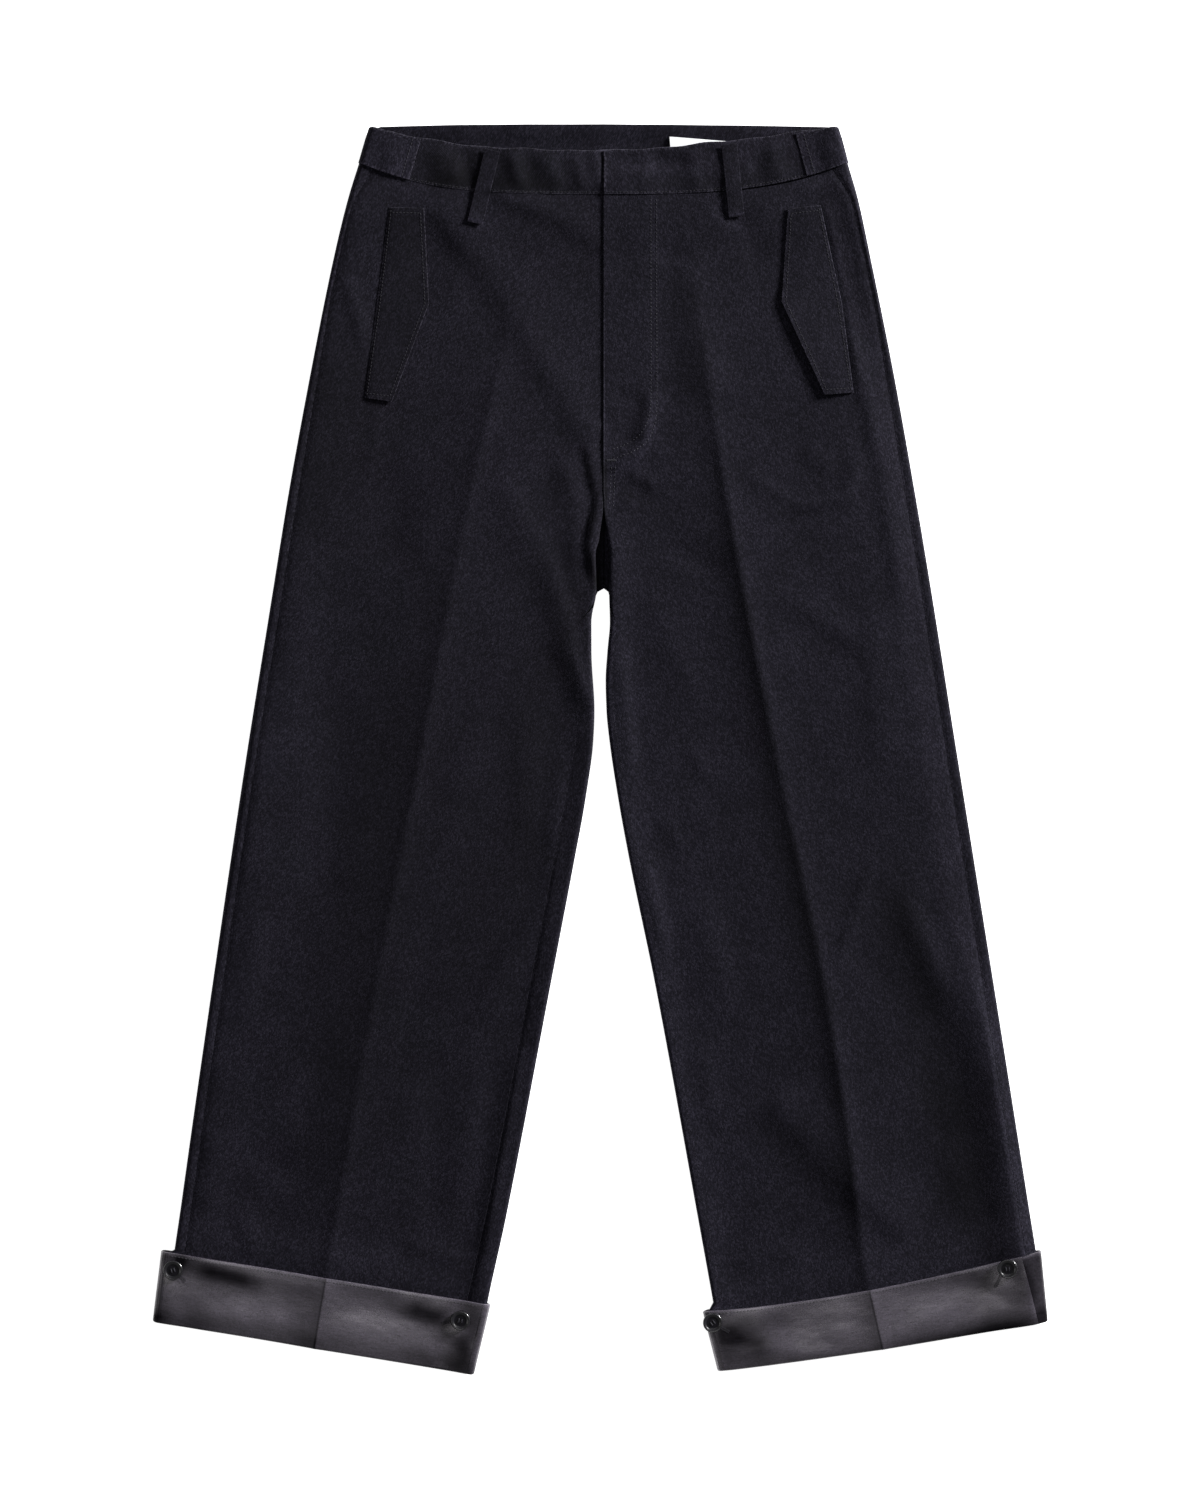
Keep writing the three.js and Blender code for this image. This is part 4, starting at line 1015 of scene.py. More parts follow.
def make_denim(name, tone=1.0, turn=28):
    finish = Finish(name, roughness=0.8, specular=0.06, sheen=0.012)
    twill = finish.ribs(finish.along_cloth(turn=turn), TWILL)
    yarns = finish.speckle(finish.along_cloth(scale=(1, 0.12, 1)), 1500)
    patches = finish.speckle(finish.along_cloth(), 24, detail=4)
    flecks = finish.grains(finish.along_cloth(turn=turn, scale=(1, 0.6, 1)), YARN_GRAIN)
    base = finish.ramp(flecks, *((at, tuple(c * tone for c in colour)) for at, colour in YARN_COLOURS))
    warp = finish.ramp(yarns, (0.3, grey(0.7)), (0.7, grey(1.25)))
    soft = finish.ramp(patches, (0.35, (0.86, 0.86, 0.87)), (0.65, grey(1.12)))
    weave = finish.ramp(twill, (0.1, grey(0.72)), (0.9, grey(1.2)))
    # The stored tone: painted light and shade
    tone_and_painted_light = finish.ramp(finish.painted("fade"), (0, grey(0.0)), (1, grey(2.0)))
    dyed = finish.blend("MULTIPLY", base, warp, soft, weave, tone_and_painted_light)
    # The stored wear, with a painted highlight along the edges of some pieces
    broken = finish.blend("MULTIPLY", finish.painted("wear_and_highlight"), flecks)
    rubbed_and_lit = finish.ramp(broken, (0.1, grey(0.0)), (0.6, (0.014, 0.013, 0.017)))
    finish.feed(finish.blend("ADD", dyed, rubbed_and_lit), "Base Color")
    hollow = finish.bump(patches, 0.0022, 0.4)
    slub = finish.bump(yarns, 0.0003, 0.35, hollow)
    finish.feed(finish.bump(twill, 0.00016, 0.5, slub), "Normal")
    return finish.material


denim_of = {
    "right": make_denim("black denim, right leg", tone=0.68),
    "left": make_denim("black denim, left leg", tone=0.74),
}
denim_band = make_denim("black denim, cut across", tone=0.76, turn=62)
denim_loop = make_denim("black denim, loops", tone=0.6, turn=62)

# %% [markdown]
# ## The other finishes
# The turn-ups show a satin facing: long smooth floats that catch the light in a broad grey sheen.
# The tone stored on the cloth is painted sheen and shade: where it is low, both its colour and its gloss go
# down.
# The buttons are polished black, and shine most on the rims, which are marked on the mesh. The
# sewing is a black polyester thread with a slight shine, and the label a white tape, cross woven.

# %% Satin, thread, button and tape
def make_satin():
    finish = Finish("satin facing", 0.27, 1.0, sheen=0.03, sheen_roughness=0.4)
    finish.inputs["Anisotropic"].default_value = 0.35
    finish.inputs["Specular Tint"].default_value = (1.0, 0.95, 1.0, 1)
    along = finish.speckle(finish.along_cloth(scale=(0.08, 1, 1)), 1300)
    clouds = finish.speckle(finish.along_cloth(scale=(0.5, 1, 1)), 26, detail=3)
    float_lines = finish.ribs(finish.along_cloth(turn=90), 0.0009)
    base = finish.ramp(clouds, (0.3, (0.0270, 0.0240, 0.0310)), (0.7, (0.0400, 0.0360, 0.0450)))
    threads = finish.ramp(along, (0.3, grey(0.7)), (0.7, grey(1.25)))
    grain = finish.grains(finish.along_cloth(), YARN_GRAIN)
    salted = finish.ramp(grain, (0.0, grey(0.75)), (1.0, (1.35, 1.32, 1.38)))
    # The stored tone is painted sheen and painted shade
    tone = finish.painted("fade")
    tone_and_painted_light = finish.ramp(tone, (0, grey(0.12)), (0.5, grey(1.0)), (1, grey(1.8)))
    finish.feed(finish.blend("MULTIPLY", base, threads, salted, tone_and_painted_light), "Base Color")
    gloss = finish.ramp(tone, (0, grey(0.04)), (0.5, grey(1.0)), (1, grey(1.6)))
    finish.feed(gloss, "Specular IOR Level")
    ripple = finish.bump(clouds, 0.003, 0.5)
    fine = finish.bump(along, 0.0001, 0.3, ripple)
    finish.feed(finish.bump(float_lines, 0.00006, 0.3, fine), "Normal")
    return finish.material


def make_thread(name, colour, roughness):
    finish = Finish(name, roughness, 0.2)
    twist = finish.ribs(finish.on_object(), 0.0004)
    lit = tuple(c * 1.5 for c in colour)
    finish.feed(finish.ramp(twist, (0.2, colour), (0.8, lit)), "Base Color")
    finish.feed(finish.bump(twist, 0.00006, 0.6), "Normal")
    return finish.material


def make_button_finish():
    finish = Finish("polished black button", 0.14, 0.55)
    swirl = finish.speckle(finish.on_object(), 260, detail=4)
    colour = finish.ramp(swirl, (0.35, (0.0024, 0.0022, 0.0034)), (0.7, (0.0050, 0.0046, 0.0068)))
    finish.feed(colour, "Base Color")
    rim = finish.painted("rim")
    finish.feed(finish.ramp(rim, (0, grey(0.16)), (1, grey(0.25))), "Roughness")
    finish.feed(finish.ramp(rim, (0, grey(0.25)), (1, grey(0.75))), "Specular IOR Level")
    finish.feed(finish.bump(swirl, 0.0001, 0.15), "Normal")
    return finish.material


def make_tape():
    finish = Finish("white woven tape", 0.6, 0.3, sheen=0.1)
    across = finish.ribs(finish.along_cloth(), 0.0006)
    down = finish.ribs(finish.along_cloth(turn=90), 0.0006)
    cross = finish.blend("MULTIPLY", across, down)
    finish.feed(finish.ramp(cross, (0.0, (0.74, 0.74, 0.76)), (0.5, (0.88, 0.88, 0.89))), "Base Color")
    finish.feed(finish.bump(cross, 0.0001, 0.5), "Normal")
    return finish.material


satin = make_satin()
black_thread = make_thread("black sewing thread", (0.014, 0.0135, 0.018), 0.6)
dull_thread = make_thread("dull black sewing thread", (0.0085, 0.008, 0.011), 0.7)
satin_thread = make_thread("grey-black sewing thread", (0.03, 0.029, 0.033), 0.45)
button_finish = make_button_finish()
white_tape = make_tape()
print("materials:", len(bpy.data.materials))

# %% [markdown]
# ## Front panels
# A front panel runs from the side seam, over the crease, to the fly or the inseam. Near the fork
# its inner edge starts to roll down round the thigh, and below the crotch it meets the back at a
# seam a little way in. One number for each line says how far the edge runs past the start of that
# roll, so the change from one to the other is smooth.

# %% Front panels
ROLL_PARTED = 45  # degrees of roll at which the fronts have parted
WRAP_ROUND, WRAP_OVER, WRAP_DONE = 80, 122, 180  # degrees: the back is round, comes over, lies on top
ROLL_OVER, INSET_OVER = 26, 0.65  # the front's roll and the inseam's inset where the back comes over
FOLD_MARGIN = 0.2  # a seam keeps this far from the start of a fold
SEWN_END, OPEN_END = 4, 3  # the last stretch of a line, sewn to the other half or free


def inseam_stop(line, inset=None):
    inset = line.facts["inset"] if inset is None else inset
    return max(line.inner_radius + FOLD_MARGIN, inset * INSEAM_INSET[line.side])


def crease_stop(line):
    s = line.width / 2
    for _ in range(4):
        x, down = line.place(np.array([s]))
        s += float(x[0] - crease_at[line.side](down)[0])
    return s


def seam_dip(distance, depth=0.55, reach=2.2):
    return -depth * np.exp(-((distance / reach) ** 2))


def front_panel_line(line, from_seam, from_crease, edge_count):
    facts = line.facts
    start, crease = float(side_seam_at(line.outer[1])), crease_stop(line)
    radius = mix(line.inner_radius, FORK_RADIUS, facts["tight"])
    parted = min(1.0, facts["roll"] / ROLL_PARTED) if not facts["wrap"] else 1.0
    lap = FLY["lap"] if line.side == "right" and facts["inner"] <= FLY["end"] else 0
    closed_end = line.width + lap + CENTRE_LAP
    fold_start = line.width - radius
    if facts["wrap"] >= WRAP_DONE:
        past = line.inner_radius - inseam_stop(line)
    elif facts["wrap"] > WRAP_OVER:
        share = (facts["wrap"] - WRAP_OVER) / (WRAP_DONE - WRAP_OVER)
        past = mix(radius * math.radians(ROLL_OVER), line.inner_radius - inseam_stop(line, INSET_OVER), share)
    else:
        past = radius * math.radians(facts["roll"])
    open_end = fold_start + past
    flat_end = fold_start if past > 0 else open_end
    flat_end = mix(closed_end - SEWN_END, min(flat_end, closed_end - SEWN_END), parted)
    share = np.linspace(0, 1, edge_count + 1)[1:]
    closed, _ = line.on_front(flat_end + (closed_end - flat_end) * share)
    if past > 0:
        opened, _ = line.inner_fold(np.degrees(past / radius) * share, radius)
    elif parted < 1:
        opened, _ = line.on_front(np.full(edge_count, flat_end) + share * min(2.0, -past))
    else:
        opened, _ = line.on_front(open_end - OPEN_END + OPEN_END * share)
        flat_end = open_end - OPEN_END
    stops = np.concatenate([mix(start, crease, from_seam), mix(crease, flat_end, from_crease)])
    points, _ = line.on_front(stops)
    line_points = np.concatenate([points, closed * (1 - parted) + opened * parted])
    line_points[:, 2] += seam_dip(np.concatenate([stops, np.full(edge_count, FAR)]) - start)
    return line_points


LEG_STOPS = 44
SHARES_OUT = np.concatenate([[0, 0.008, 0.02, 0.036], np.linspace(0.06, 1, LEG_STOPS)])
SHARES_IN = np.linspace(0, 1, LEG_STOPS)[1:]
PANEL_RIM = 0.05  # a panel's edges hardly bulge, so that sewn seams close


def front_panel(side):
    grid = np.array([front_panel_line(line, SHARES_OUT, SHARES_IN, 6) for line in LEG_LINES[side]])
    piece = cloth_shell(
        f"front_{side}", grid, SIGN[side], CLOTH, round_edge=PANEL_RIM, zero_column=len(SHARES_OUT) - 1,
        worn_and_lit_edge=0.0, fade=leg_light_and_wear,
    )
    return finish_cloth(piece, denim_of[side], f"front_panel_{side}")


for side in SIGN:
    front_panel(side)

# %% [markdown]
# ## Back panels
# A back panel starts at the side seam on the front, turns under at the outer fold, lies flat on the
# table and, below the crotch, turns up again at the inner fold. Above the crotch both backs meet
# on the centre line. They are the dark cloth that shows in the gap of the fork.

# %% Back panels
LEAST_WRAP = 12
BOTTOM_STOPS, INNER_STOPS = 36, 26
SEWN_FROM = (480, 640)  # the right leg's inseam is pressed shut above this, and open below


def back_panel_line(line):
    facts = line.facts
    start = float(side_seam_at(line.outer[1])) - SEAM_GAP
    over = start + (line.outer_radius - start) * np.linspace(0, 1, 7)
    top = line.on_front(over)
    top[0][:, 2] += seam_dip(over - start)
    outer = join(top, line.outer_fold(ROUND))
    wrapped = min(1.0, facts["wrap"] / WRAP_ROUND) ** 0.5
    radius = line.inner_radius
    centre_s = line.width + line.inner[0] + CENTRE_LAP
    folded_s = line.width - radius
    bottom_end = (centre_s - 10) + (folded_s - centre_s + 10) * wrapped
    bottom = line.on_back(np.linspace(line.outer_radius, bottom_end, BOTTOM_STOPS + 1)[1:])
    share = np.linspace(0, 1, INNER_STOPS + 1)[1:]
    flat, _ = line.on_back(bottom_end + (centre_s - bottom_end) * share)
    if facts["wrap"] > WRAP_OVER:
        grown = (facts["wrap"] - WRAP_OVER) / (WRAP_DONE - WRAP_OVER)
        seam = inseam_stop(line, None if facts["wrap"] >= WRAP_DONE else INSET_OVER)
        sewn = smooth(line.inner[1], *SEWN_FROM) if line.side == "right" else 0
        seam = max(radius + FOLD_MARGIN, seam) - OPEN_GAP - (SEAM_GAP - OPEN_GAP) * sewn
        over_fold = math.pi * radius + seam - radius
        length = (1 - grown) * radius * math.radians(WRAP_OVER) + grown * over_fold
    else:
        length = radius * math.radians(max(facts["wrap"], LEAST_WRAP))
    arc = share * length
    turned, _ = line.inner_fold(180 - np.degrees(np.minimum(arc / radius, math.pi)), radius)
    over_arc = np.maximum(arc - math.pi * radius, 0)
    on_top, _ = line.on_front(line.width - radius - over_arc)
    if facts["wrap"] > WRAP_OVER:
        on_top[:, 2] += sewn * seam_dip(length - arc) * (over_arc > 0)
    turned = np.where((over_arc > 0)[:, None], on_top, turned)
    inner = flat * (1 - wrapped) + turned * wrapped
    return np.concatenate([outer[0], bottom[0], inner])


def back_panel(side):
    grid = np.array([back_panel_line(line) for line in LEG_LINES[side]])
    piece = cloth_shell(
        f"back_{side}", grid, -SIGN[side], CLOTH, round_edge=PANEL_RIM, zero_column=32, fade=leg_light_and_wear,
    )
    return finish_cloth(piece, denim_of[side], f"back_panel_{side}")


for side in SIGN:
    back_panel(side)

# %% [markdown]
# ## Waistband
# The waistband is a double layer cut across the cloth. Its front has two halves that lap at the fly,
# and the back's inner face shows above them, because a worn waist is scooped lower in front.
# A short band of side tab wraps each side fold over the joint.

# %% Waistband lines
TAB = {"right": dict(top_end=151.5, foot_end=161.4), "left": dict(top_end=158.6, foot_end=168.3)}
TAB_UNDER, TAB_SEAM = 14, 15
BAND_SHARES = spaced(1, 0, 0.09, 0.02)
BAND_RIM = 0.3


def band_line(side, share):
    waist = WAIST[side]
    outer_down = mix(BAND_END["seam"] - WAIST_GAP, BAND_END["down"], share)
    inner_down = mix(waist["seam_down"] - WAIST_GAP, waist["top_down"], share)
    return Line(
        side, (float(outer_at[side](outer_down)), outer_down), (SEAM_GAP / 2, inner_down),
        mix(BACK_BAND_SEAM - WAIST_GAP, BACK_BAND_TOP, share),
        mix(waist["seam_bend"], waist["top_bend"], share),
        band_height(side), floor_height,
    )


def band_swell(share):
    """The band is fullest half way up."""
    return 0.5 * math.sin(math.pi * share) - 0.3


def same_count(rows):
    """Every line gets as many points as the first, spread the same way along it."""
    count = len(rows[0])
    old = [np.linspace(0, 1, len(row)) for row in rows]
    new = np.linspace(0, 1, count)
    return np.array([
        row if len(row) == count else np.stack([np.interp(new, t, row[:, k]) for k in range(3)], axis=1)
        for t, row in zip(old, rows)
    ])


# %% Front waistband
def front_band(side):
    rows = []
    for share in BAND_SHARES:
        line = band_line(side, share)
        end = line.width + (FLY["lap"] if side == "right" else 0)
        points, _ = line.on_front(spaced(TAB_SEAM, end, 3.0, 0.8))
        points[:, 2] += band_swell(share)
        wave = 0.9 * np.sin(points[:, 0] / 7.9) * np.sin(points[:, 0] / 23 + 1)
        points[:, 1] += wave * float(smooth(share, 0.6, 1))
        rows.append(points)
    # Its edges are paler: wear, and a painted highlight along the band's top edge
    piece = cloth_shell(
        f"waistband_{side}", same_count(rows), SIGN[side], BAND_CLOTH, round_edge=BAND_RIM, worn_and_lit_edge=0.75,
        fade=band_painted_shade,
    )
    return finish_cloth(
        piece, denim_band, f"waistband_front_{side}"
    )


# %% Back waistband
def half_back_band(side, share):
    line = band_line(side, share)
    front = line.on_front(np.linspace(TAB_SEAM - 0.5, line.outer_radius, 4))
    middle = line.width + line.inner[0]
    back, outs = line.on_back(np.linspace(line.outer_radius, middle, 52)[1:])
    lifted = 2.0 * float(smooth(share, 0.5, 0.93)) * smooth(np.linspace(0, 1, len(back)), 0, 0.3)
    back[:, 2] += lifted + 0.3 * np.sin(back[:, 0] / 9.3 + share * 1.9) * share
    return join(front, line.outer_fold(ROUND), (back, outs))[0]


def back_band():
    halves = [(half_back_band("right", share), half_back_band("left", share)) for share in BAND_SHARES]
    grid = np.array([np.concatenate([right, left[-2::-1]]) for right, left in halves])
    piece = cloth_shell("waistband_behind", grid, 1, BAND_CLOTH, round_edge=BAND_RIM)
    return finish_cloth(piece, denim_band, "waistband_back")


# %% Side tabs
def tab_end(line, share):
    """How far from the outer fold a tab ends on the front."""
    return line.outer[0] - mix(TAB[line.side]["foot_end"], TAB[line.side]["top_end"], share)


def side_tab(side):
    rows = []
    for share in spaced(0.975, 0.005, 0.09, 0.02):
        line = band_line(side, share)
        end = tab_end(line, share)
        on_top = np.concatenate([[end, end - 0.6, end - 1.6], np.linspace(end - 3, line.outer_radius, 12)])
        points, outs = join(
            line.on_front(on_top),
            line.outer_fold(np.linspace(0, 180, 15)[1:]),
            line.on_back(np.linspace(line.outer_radius, TAB_UNDER, 5)[1:]),
        )
        rows.append(points + outs * (TAB_CLOTH + LAID_GAP))
    piece = cloth_shell(
        f"tab_{side}", np.array(rows), -SIGN[side], TAB_CLOTH, round_edge=0.35, worn_and_lit_edge=0.8, fade=tab_fade,
    )
    return finish_cloth(piece, denim_band, f"side_tab_{side}")


back_band()
for side in SIGN:
    front_band(side)
for side in SIGN:
    side_tab(side)

# %% [markdown]
# ## Hip flaps
# Each flap is sewn along its outer edge and free along the others, with a corner half way down.
# The sewn edge goes down into the pocket's seam. The free edges stand off, which throws a dark line.

# %% Flaps
FLAP = {  # (down, x) of the sewn outer edge and of the free inner edge, from top to foot
    "right": dict(
        outer=[(69.8, 178), (149, 188.5), (227, 198.4)],
        inner=[(70.4, 149.5), (149, 145.7), (230.3, 176.4)],
        lift=0.8, seat=0.7,
    ),
    "left": dict(
        outer=[(67.9, 179.4), (147.3, 197), (222.9, 206.7)],
        inner=[(71, 152.7), (147.3, 147.6), (224.8, 183.2)],
        lift=1.4, seat=0.1,
    ),
}
FLAP_WIDTH = 25  # about, between the sewn and the free edge


def flap_point(side, t, share):
    """A place on a flap: t runs from 0 at its top to 2 at its foot, share from its seam to its free edge."""
    t, share = np.broadcast_arrays(np.asarray(t, float), np.asarray(share, float))
    outer, inner = (np.array(FLAP[side][edge], float) for edge in ("outer", "inner"))
    down, x = (
        mix(np.interp(t, [0, 1, 2], outer[:, k]), np.interp(t, [0, 1, 2], inner[:, k]), share) for k in (0, 1)
    )
    x = SIGN[side] * x
    lift = FLAP[side]["lift"]
    curl = lift * np.maximum(share**2 * smooth(t, 0.5, 1.3), smooth(t, 1.3, 2) * (0.25 + 0.75 * share))
    ripple = 0.1 * np.sin(t * 5.1 + (1.0 if side == "left" else 0.0)) * share
    padded = 0.3 * np.sin(math.pi * np.clip(share, 0, 1)) ** 2
    seat = FLAP[side]["seat"] * hump(share * FLAP_WIDTH, 1.6)
    above = FLAP_CLOTH + LAID_GAP + curl + ripple + padded - seat
    return in_part(x, down, panel_height(side)(x, down) + above)


def hip_flap(side):
    upper, lower = np.linspace(0.04, 1, 24), np.linspace(1, 1.96, 24)[1:]
    down = np.concatenate([[0, 0.008, 0.02], upper, lower, [1.98, 1.992, 2]])
    across = np.array([0, 0.02, 0.05, 0.1, 0.18, 0.28, 0.4, 0.52, 0.64, 0.76, 0.86, 0.92, 0.96, 0.985, 1])
    grid = flap_point(side, down[:, None], across[None, :])
    piece = cloth_shell(f"flap_{side}", grid, SIGN[side], FLAP_CLOTH, round_edge=0.4, fade=flap_painted_shade)
    return finish_cloth(piece, denim_of[side], f"hip_flap_{side}")


for side in SIGN:
    hip_flap(side)

# %% [markdown]
# ## Belt loops and the label
# A loop is a folded strip with both ends turned under and tacked down. It stands off the waistband
# just enough for a belt's edge to start under it. The three behind lie flat under the back waist.

# %% Loops
LOOP_WIDTH = 12.5
FRONT_LOOPS = {"right": ((-92.5, 22.5), (-107, 82.5)), "left": ((103.8, 17.5), (110, 77))}  # top, foot
BACK_LOOPS = {"right": -105, "centre": 0, "left": 105}
BACK_LOOP_ENDS = (3.2, 62.8)
LOOP_TURN = 0.07  # the share of a loop's length that each turned end takes


def loop_surface(side, x, down):
    """The waistband, and below its seam the panel."""
    return mix(band_height(side)(x, down), panel_height(side)(x, down), smooth(down, 54, 61))


def loop_fade(x, down):
    """The foot of a loop is paler along the fold where it is turned under."""
    from_foot = {}
    for side, ((top_x, top_down), (foot_x, foot_down)) in FRONT_LOOPS.items():
        slant = (foot_x - top_x) / (foot_down - top_down)
        from_foot[side] = foot_down - slant * (x - foot_x) - down
    above = np.where(x < 0, from_foot["right"], from_foot["left"])
    return LOOP_FOOT_TONE * hump(above - LOOP_FOOT_LINE, 1.0)


def loop_point(side, share, part):
    """share runs down the loop, and part from -0.5 to 0.5 across it."""
    share, part = np.broadcast_arrays(np.asarray(share, float), np.asarray(part, float))
    (top_x, top_down), (foot_x, foot_down) = FRONT_LOOPS[side]
    run_x, run_down = foot_x - top_x, foot_down - top_down
    run = math.hypot(run_x, run_down)
    x = top_x + run_x * share + run_down / run * LOOP_WIDTH * part
    down = top_down + run_down * share - run_x / run * LOOP_WIDTH * part
    bow = 0.15 * np.maximum(np.sin(math.pi * share), 0) ** 0.6
    turned_end = 0.3 * (hump(share, LOOP_TURN) + hump(1 - share, LOOP_TURN))
    crown = 0.15 * (1 - (2 * part) ** 2)
    middle = loop_surface(side, top_x + run_x * share, top_down + run_down * share)
    under = np.maximum(loop_surface(side, x, down), middle)
    return in_part(x, down, under + LOOP_CLOTH + LAID_GAP + bow + turned_end + crown)


def front_loop(side):
    down = np.concatenate([[0, 0.012, 0.03], np.linspace(0.06, 0.94, 28), [0.97, 0.988, 1]])
    across = np.array([-0.5, -0.46, -0.38, -0.25, -0.08, 0.08, 0.25, 0.38, 0.46, 0.5])
    grid = loop_point(side, down[:, None], across[None, :])
    piece = cloth_shell(f"loop_{side}", grid, 1, LOOP_CLOTH, round_edge=0.35, fade=loop_fade)
    return finish_cloth(
        piece, denim_loop, f"belt_loop_front_{side}"
    )


def back_loop(name, x):
    down, across = np.linspace(*BACK_LOOP_ENDS, 16), np.linspace(-0.5, 0.5, 8)
    grid = in_part(x + LOOP_WIDTH * across[None, :], down[:, None], CLOTH)
    piece = cloth_shell(f"loop_behind_{name}", grid, 1, CLOTH, round_edge=0.0)
    return finish_cloth(piece, denim_band, f"belt_loop_back_{name}")


for side in SIGN:
    front_loop(side)
for name, x in BACK_LOOPS.items():
    back_loop(name, x)

# %% Label
LABEL = dict(x=54.4, down=10.4, width=58, height=22, tilt=0.08, stand=1.3)


def waist_label():
    """A tape that is sewn on at its ends, so it waves a little along its upper edge."""
    v, u = np.meshgrid(np.linspace(0, 1, 14), np.linspace(0, 1, 30), indexing="ij")
    across, fall = LABEL["width"] * u, LABEL["height"] * v
    z = LOOP_LIFT + BAND_CLOTH + LABEL["stand"] + 0.25 * np.sin(u * 7) * np.exp(-v * 3)
    tilt = LABEL["tilt"]
    grid = in_part(LABEL["x"] + across + fall * tilt, LABEL["down"] + fall + across * tilt, z)
    piece = cloth_shell("label", grid, 1, LABEL_CLOTH, round_edge=0.2)
    return finish_cloth(piece, white_tape, "waist_label")


waist_label()

# %% [markdown]
# ## Turn-ups
# The hem is folded up over the leg, and its satin facing shows. On the wearer's left the cloth that
# comes round the outer fold is made darker and duller. One piece of cloth runs down the
# outside, round the fold, and a little way up inside, where it is joined to the leg. The outside
# face is not flat: it swells a little between the buttons and dips where each one pulls on it.

# %% Turn-up folds
CUFF_FOLDS = [
    ((-338, 945), (-283, 960), 6, 9, 1.6),
    ((-283, 960), (-227, 964), 7, 10, 0.8),
    ((-331, 964), (-252, 973), 9, 8, 0.7),
    ((-343, 977), (-350, 1002), 10, 12, -0.9),
    ((-219, 977), (-152, 987), 10, 9, -0.6),
    ((-215, 962), (-144, 973), 5, 6, 0.6),
    ((-176, 977), (-129, 990), 6, 10, 1.5),
    ((-129, 1006), (-136, 1028), 8, 10, -1.2),
    ((-111, 1010), (-117, 1033), 6, 8, 1.0),
    ((-302, 977), (-305, 1002), 12, 14, 0.6),
    ((-260, 973), (-264, 1008), 10, 14, -0.5),
    ((117, 987), (137, 1027), 26, 16, 1.8),
    ((127, 981), (146, 1018), 10, 12, 0.5),
    ((155, 977), (163, 1018), 14, 18, -0.7),
    ((196, 977), (195, 1014), 12, 14, 0.5),
    ((256, 995), (288, 988), 6, 8, 0.4),
    ((279, 968), (325, 964), 8, 9, -0.4),
    ((288, 952), (322, 957), 6, 9, 0.8),
    ((329, 977), (321, 995), 9, 10, 0.7),
    ((230, 960), (275, 954), 5, 6, 0.5),
    ((103, 1020), (163, 1015), 7, 6, 0.8),
]
CUFF_SWELLS = fold_columns(CUFF_FOLDS)
BUTTONS = {
    "right_outer": (-356.9, 950.4),
    "right_inner": (-119, 992.3),
    "left_inner": (90.1, 994),
    "left_outer": (334.1, 949),
}
BUTTON_DIP, BUTTON_DIP_REACH = 1.5, 11
CREASE_GROOVE, GROOVE_REACH = 0.3, 14
FOLD_ROLL, FOLD_ROLL_REACH = 1.8, 7.5


def satin_height(x, down):
    swell = folds_at(CUFF_SWELLS, x, down)
    for at_x, at_down in BUTTONS.values():
        swell -= BUTTON_DIP * np.exp(-((x - at_x) ** 2 + (down - at_down) ** 2) / BUTTON_DIP_REACH**2)
    past_crease = np.sign(x) * (np.abs(x) - both(crease_at, x, down))
    beside = np.exp(-np.maximum(-past_crease, 0) / GROOVE_REACH)
    groove = CREASE_GROOVE * (1 - smooth(past_crease, -0.9, 0.9)) * beside
    return cuff_height(x, down) + swell - groove - FOLD_ROLL * hump(above_cuff_fold(x, down), FOLD_ROLL_REACH)


# %% Turn-up shells
CUFF_RIM = 0.35
NEAR_CREASE = np.array([0.5, 1.2, 2, 3, 4.5])
CUFF_STOPS = 44  # to each side of the crease


def with_crease(line, start, end):
    """Stops across a turn-up, closer together where the pressed crease runs."""
    middle = crease_stop(line)
    return np.concatenate([
        [start, start + 0.8], np.linspace(start + 2, middle - 6, CUFF_STOPS),
        middle - NEAR_CREASE[::-1], [middle], middle + NEAR_CREASE,
        np.linspace(middle + 6, end - 2, CUFF_STOPS), [end - 0.8, end],
    ])


def cuff_profile(height):
    """Places (above the fold, inward of the face) from the top edge, round the fold and up inside."""
    face = np.concatenate([height - np.array([0, 0.6, 1.6, 3]), np.linspace(height - 6, 0, 15)])
    turn = [(math.sin(a), math.cos(a)) for a in np.radians(ROUND)]
    return (
        [(above, 0.0) for above in face]
        + [(-sine * CUFF_TURN / 2, (1 - cosine) * CUFF_TURN / 2) for sine, cosine in turn]
        + [(above, CUFF_TURN) for above in (2.5, 5.2, CUFF_TUCK)]
    )


def cuff_line(side, above):
    outer, inner, bend = cuff_ends(side, above)
    return Line(side, outer, inner, inner[1], bend, satin_height, no_floor)


def cuff_grids(side):
    cuff = CUFF[side]
    front, back = [], []
    for above, inward in cuff_profile(cuff["height"]):
        line = cuff_line(side, above)
        seam_start = mix(*cuff["seam_outer"], above / cuff["height"])
        seam_start = max(seam_start, line.outer_radius + FOLD_MARGIN)
        seam_end = line.width - max(cuff["seam_inner"], line.inner_radius + FOLD_MARGIN)
        inner_start = line.width - line.inner_radius
        points, outs = line.on_front(with_crease(line, seam_start, seam_end))
        front.append(points - outs * (CUFF_CLOTH / 2 + inward))
        points, outs = join(
            line.on_front(np.linspace(seam_start - SEAM_GAP, line.outer_radius, 4)),
            line.outer_fold(ROUND),
            line.on_back(np.linspace(line.outer_radius, inner_start, 40)[1:]),
            line.inner_fold(np.linspace(180, 0, 13)[1:]),
            line.on_front(np.linspace(inner_start, seam_end + SEAM_GAP, 4)[1:]),
        )
        back.append(points - outs * (CUFF_CLOTH / 2 + inward))
    return np.array(front), np.array(back)


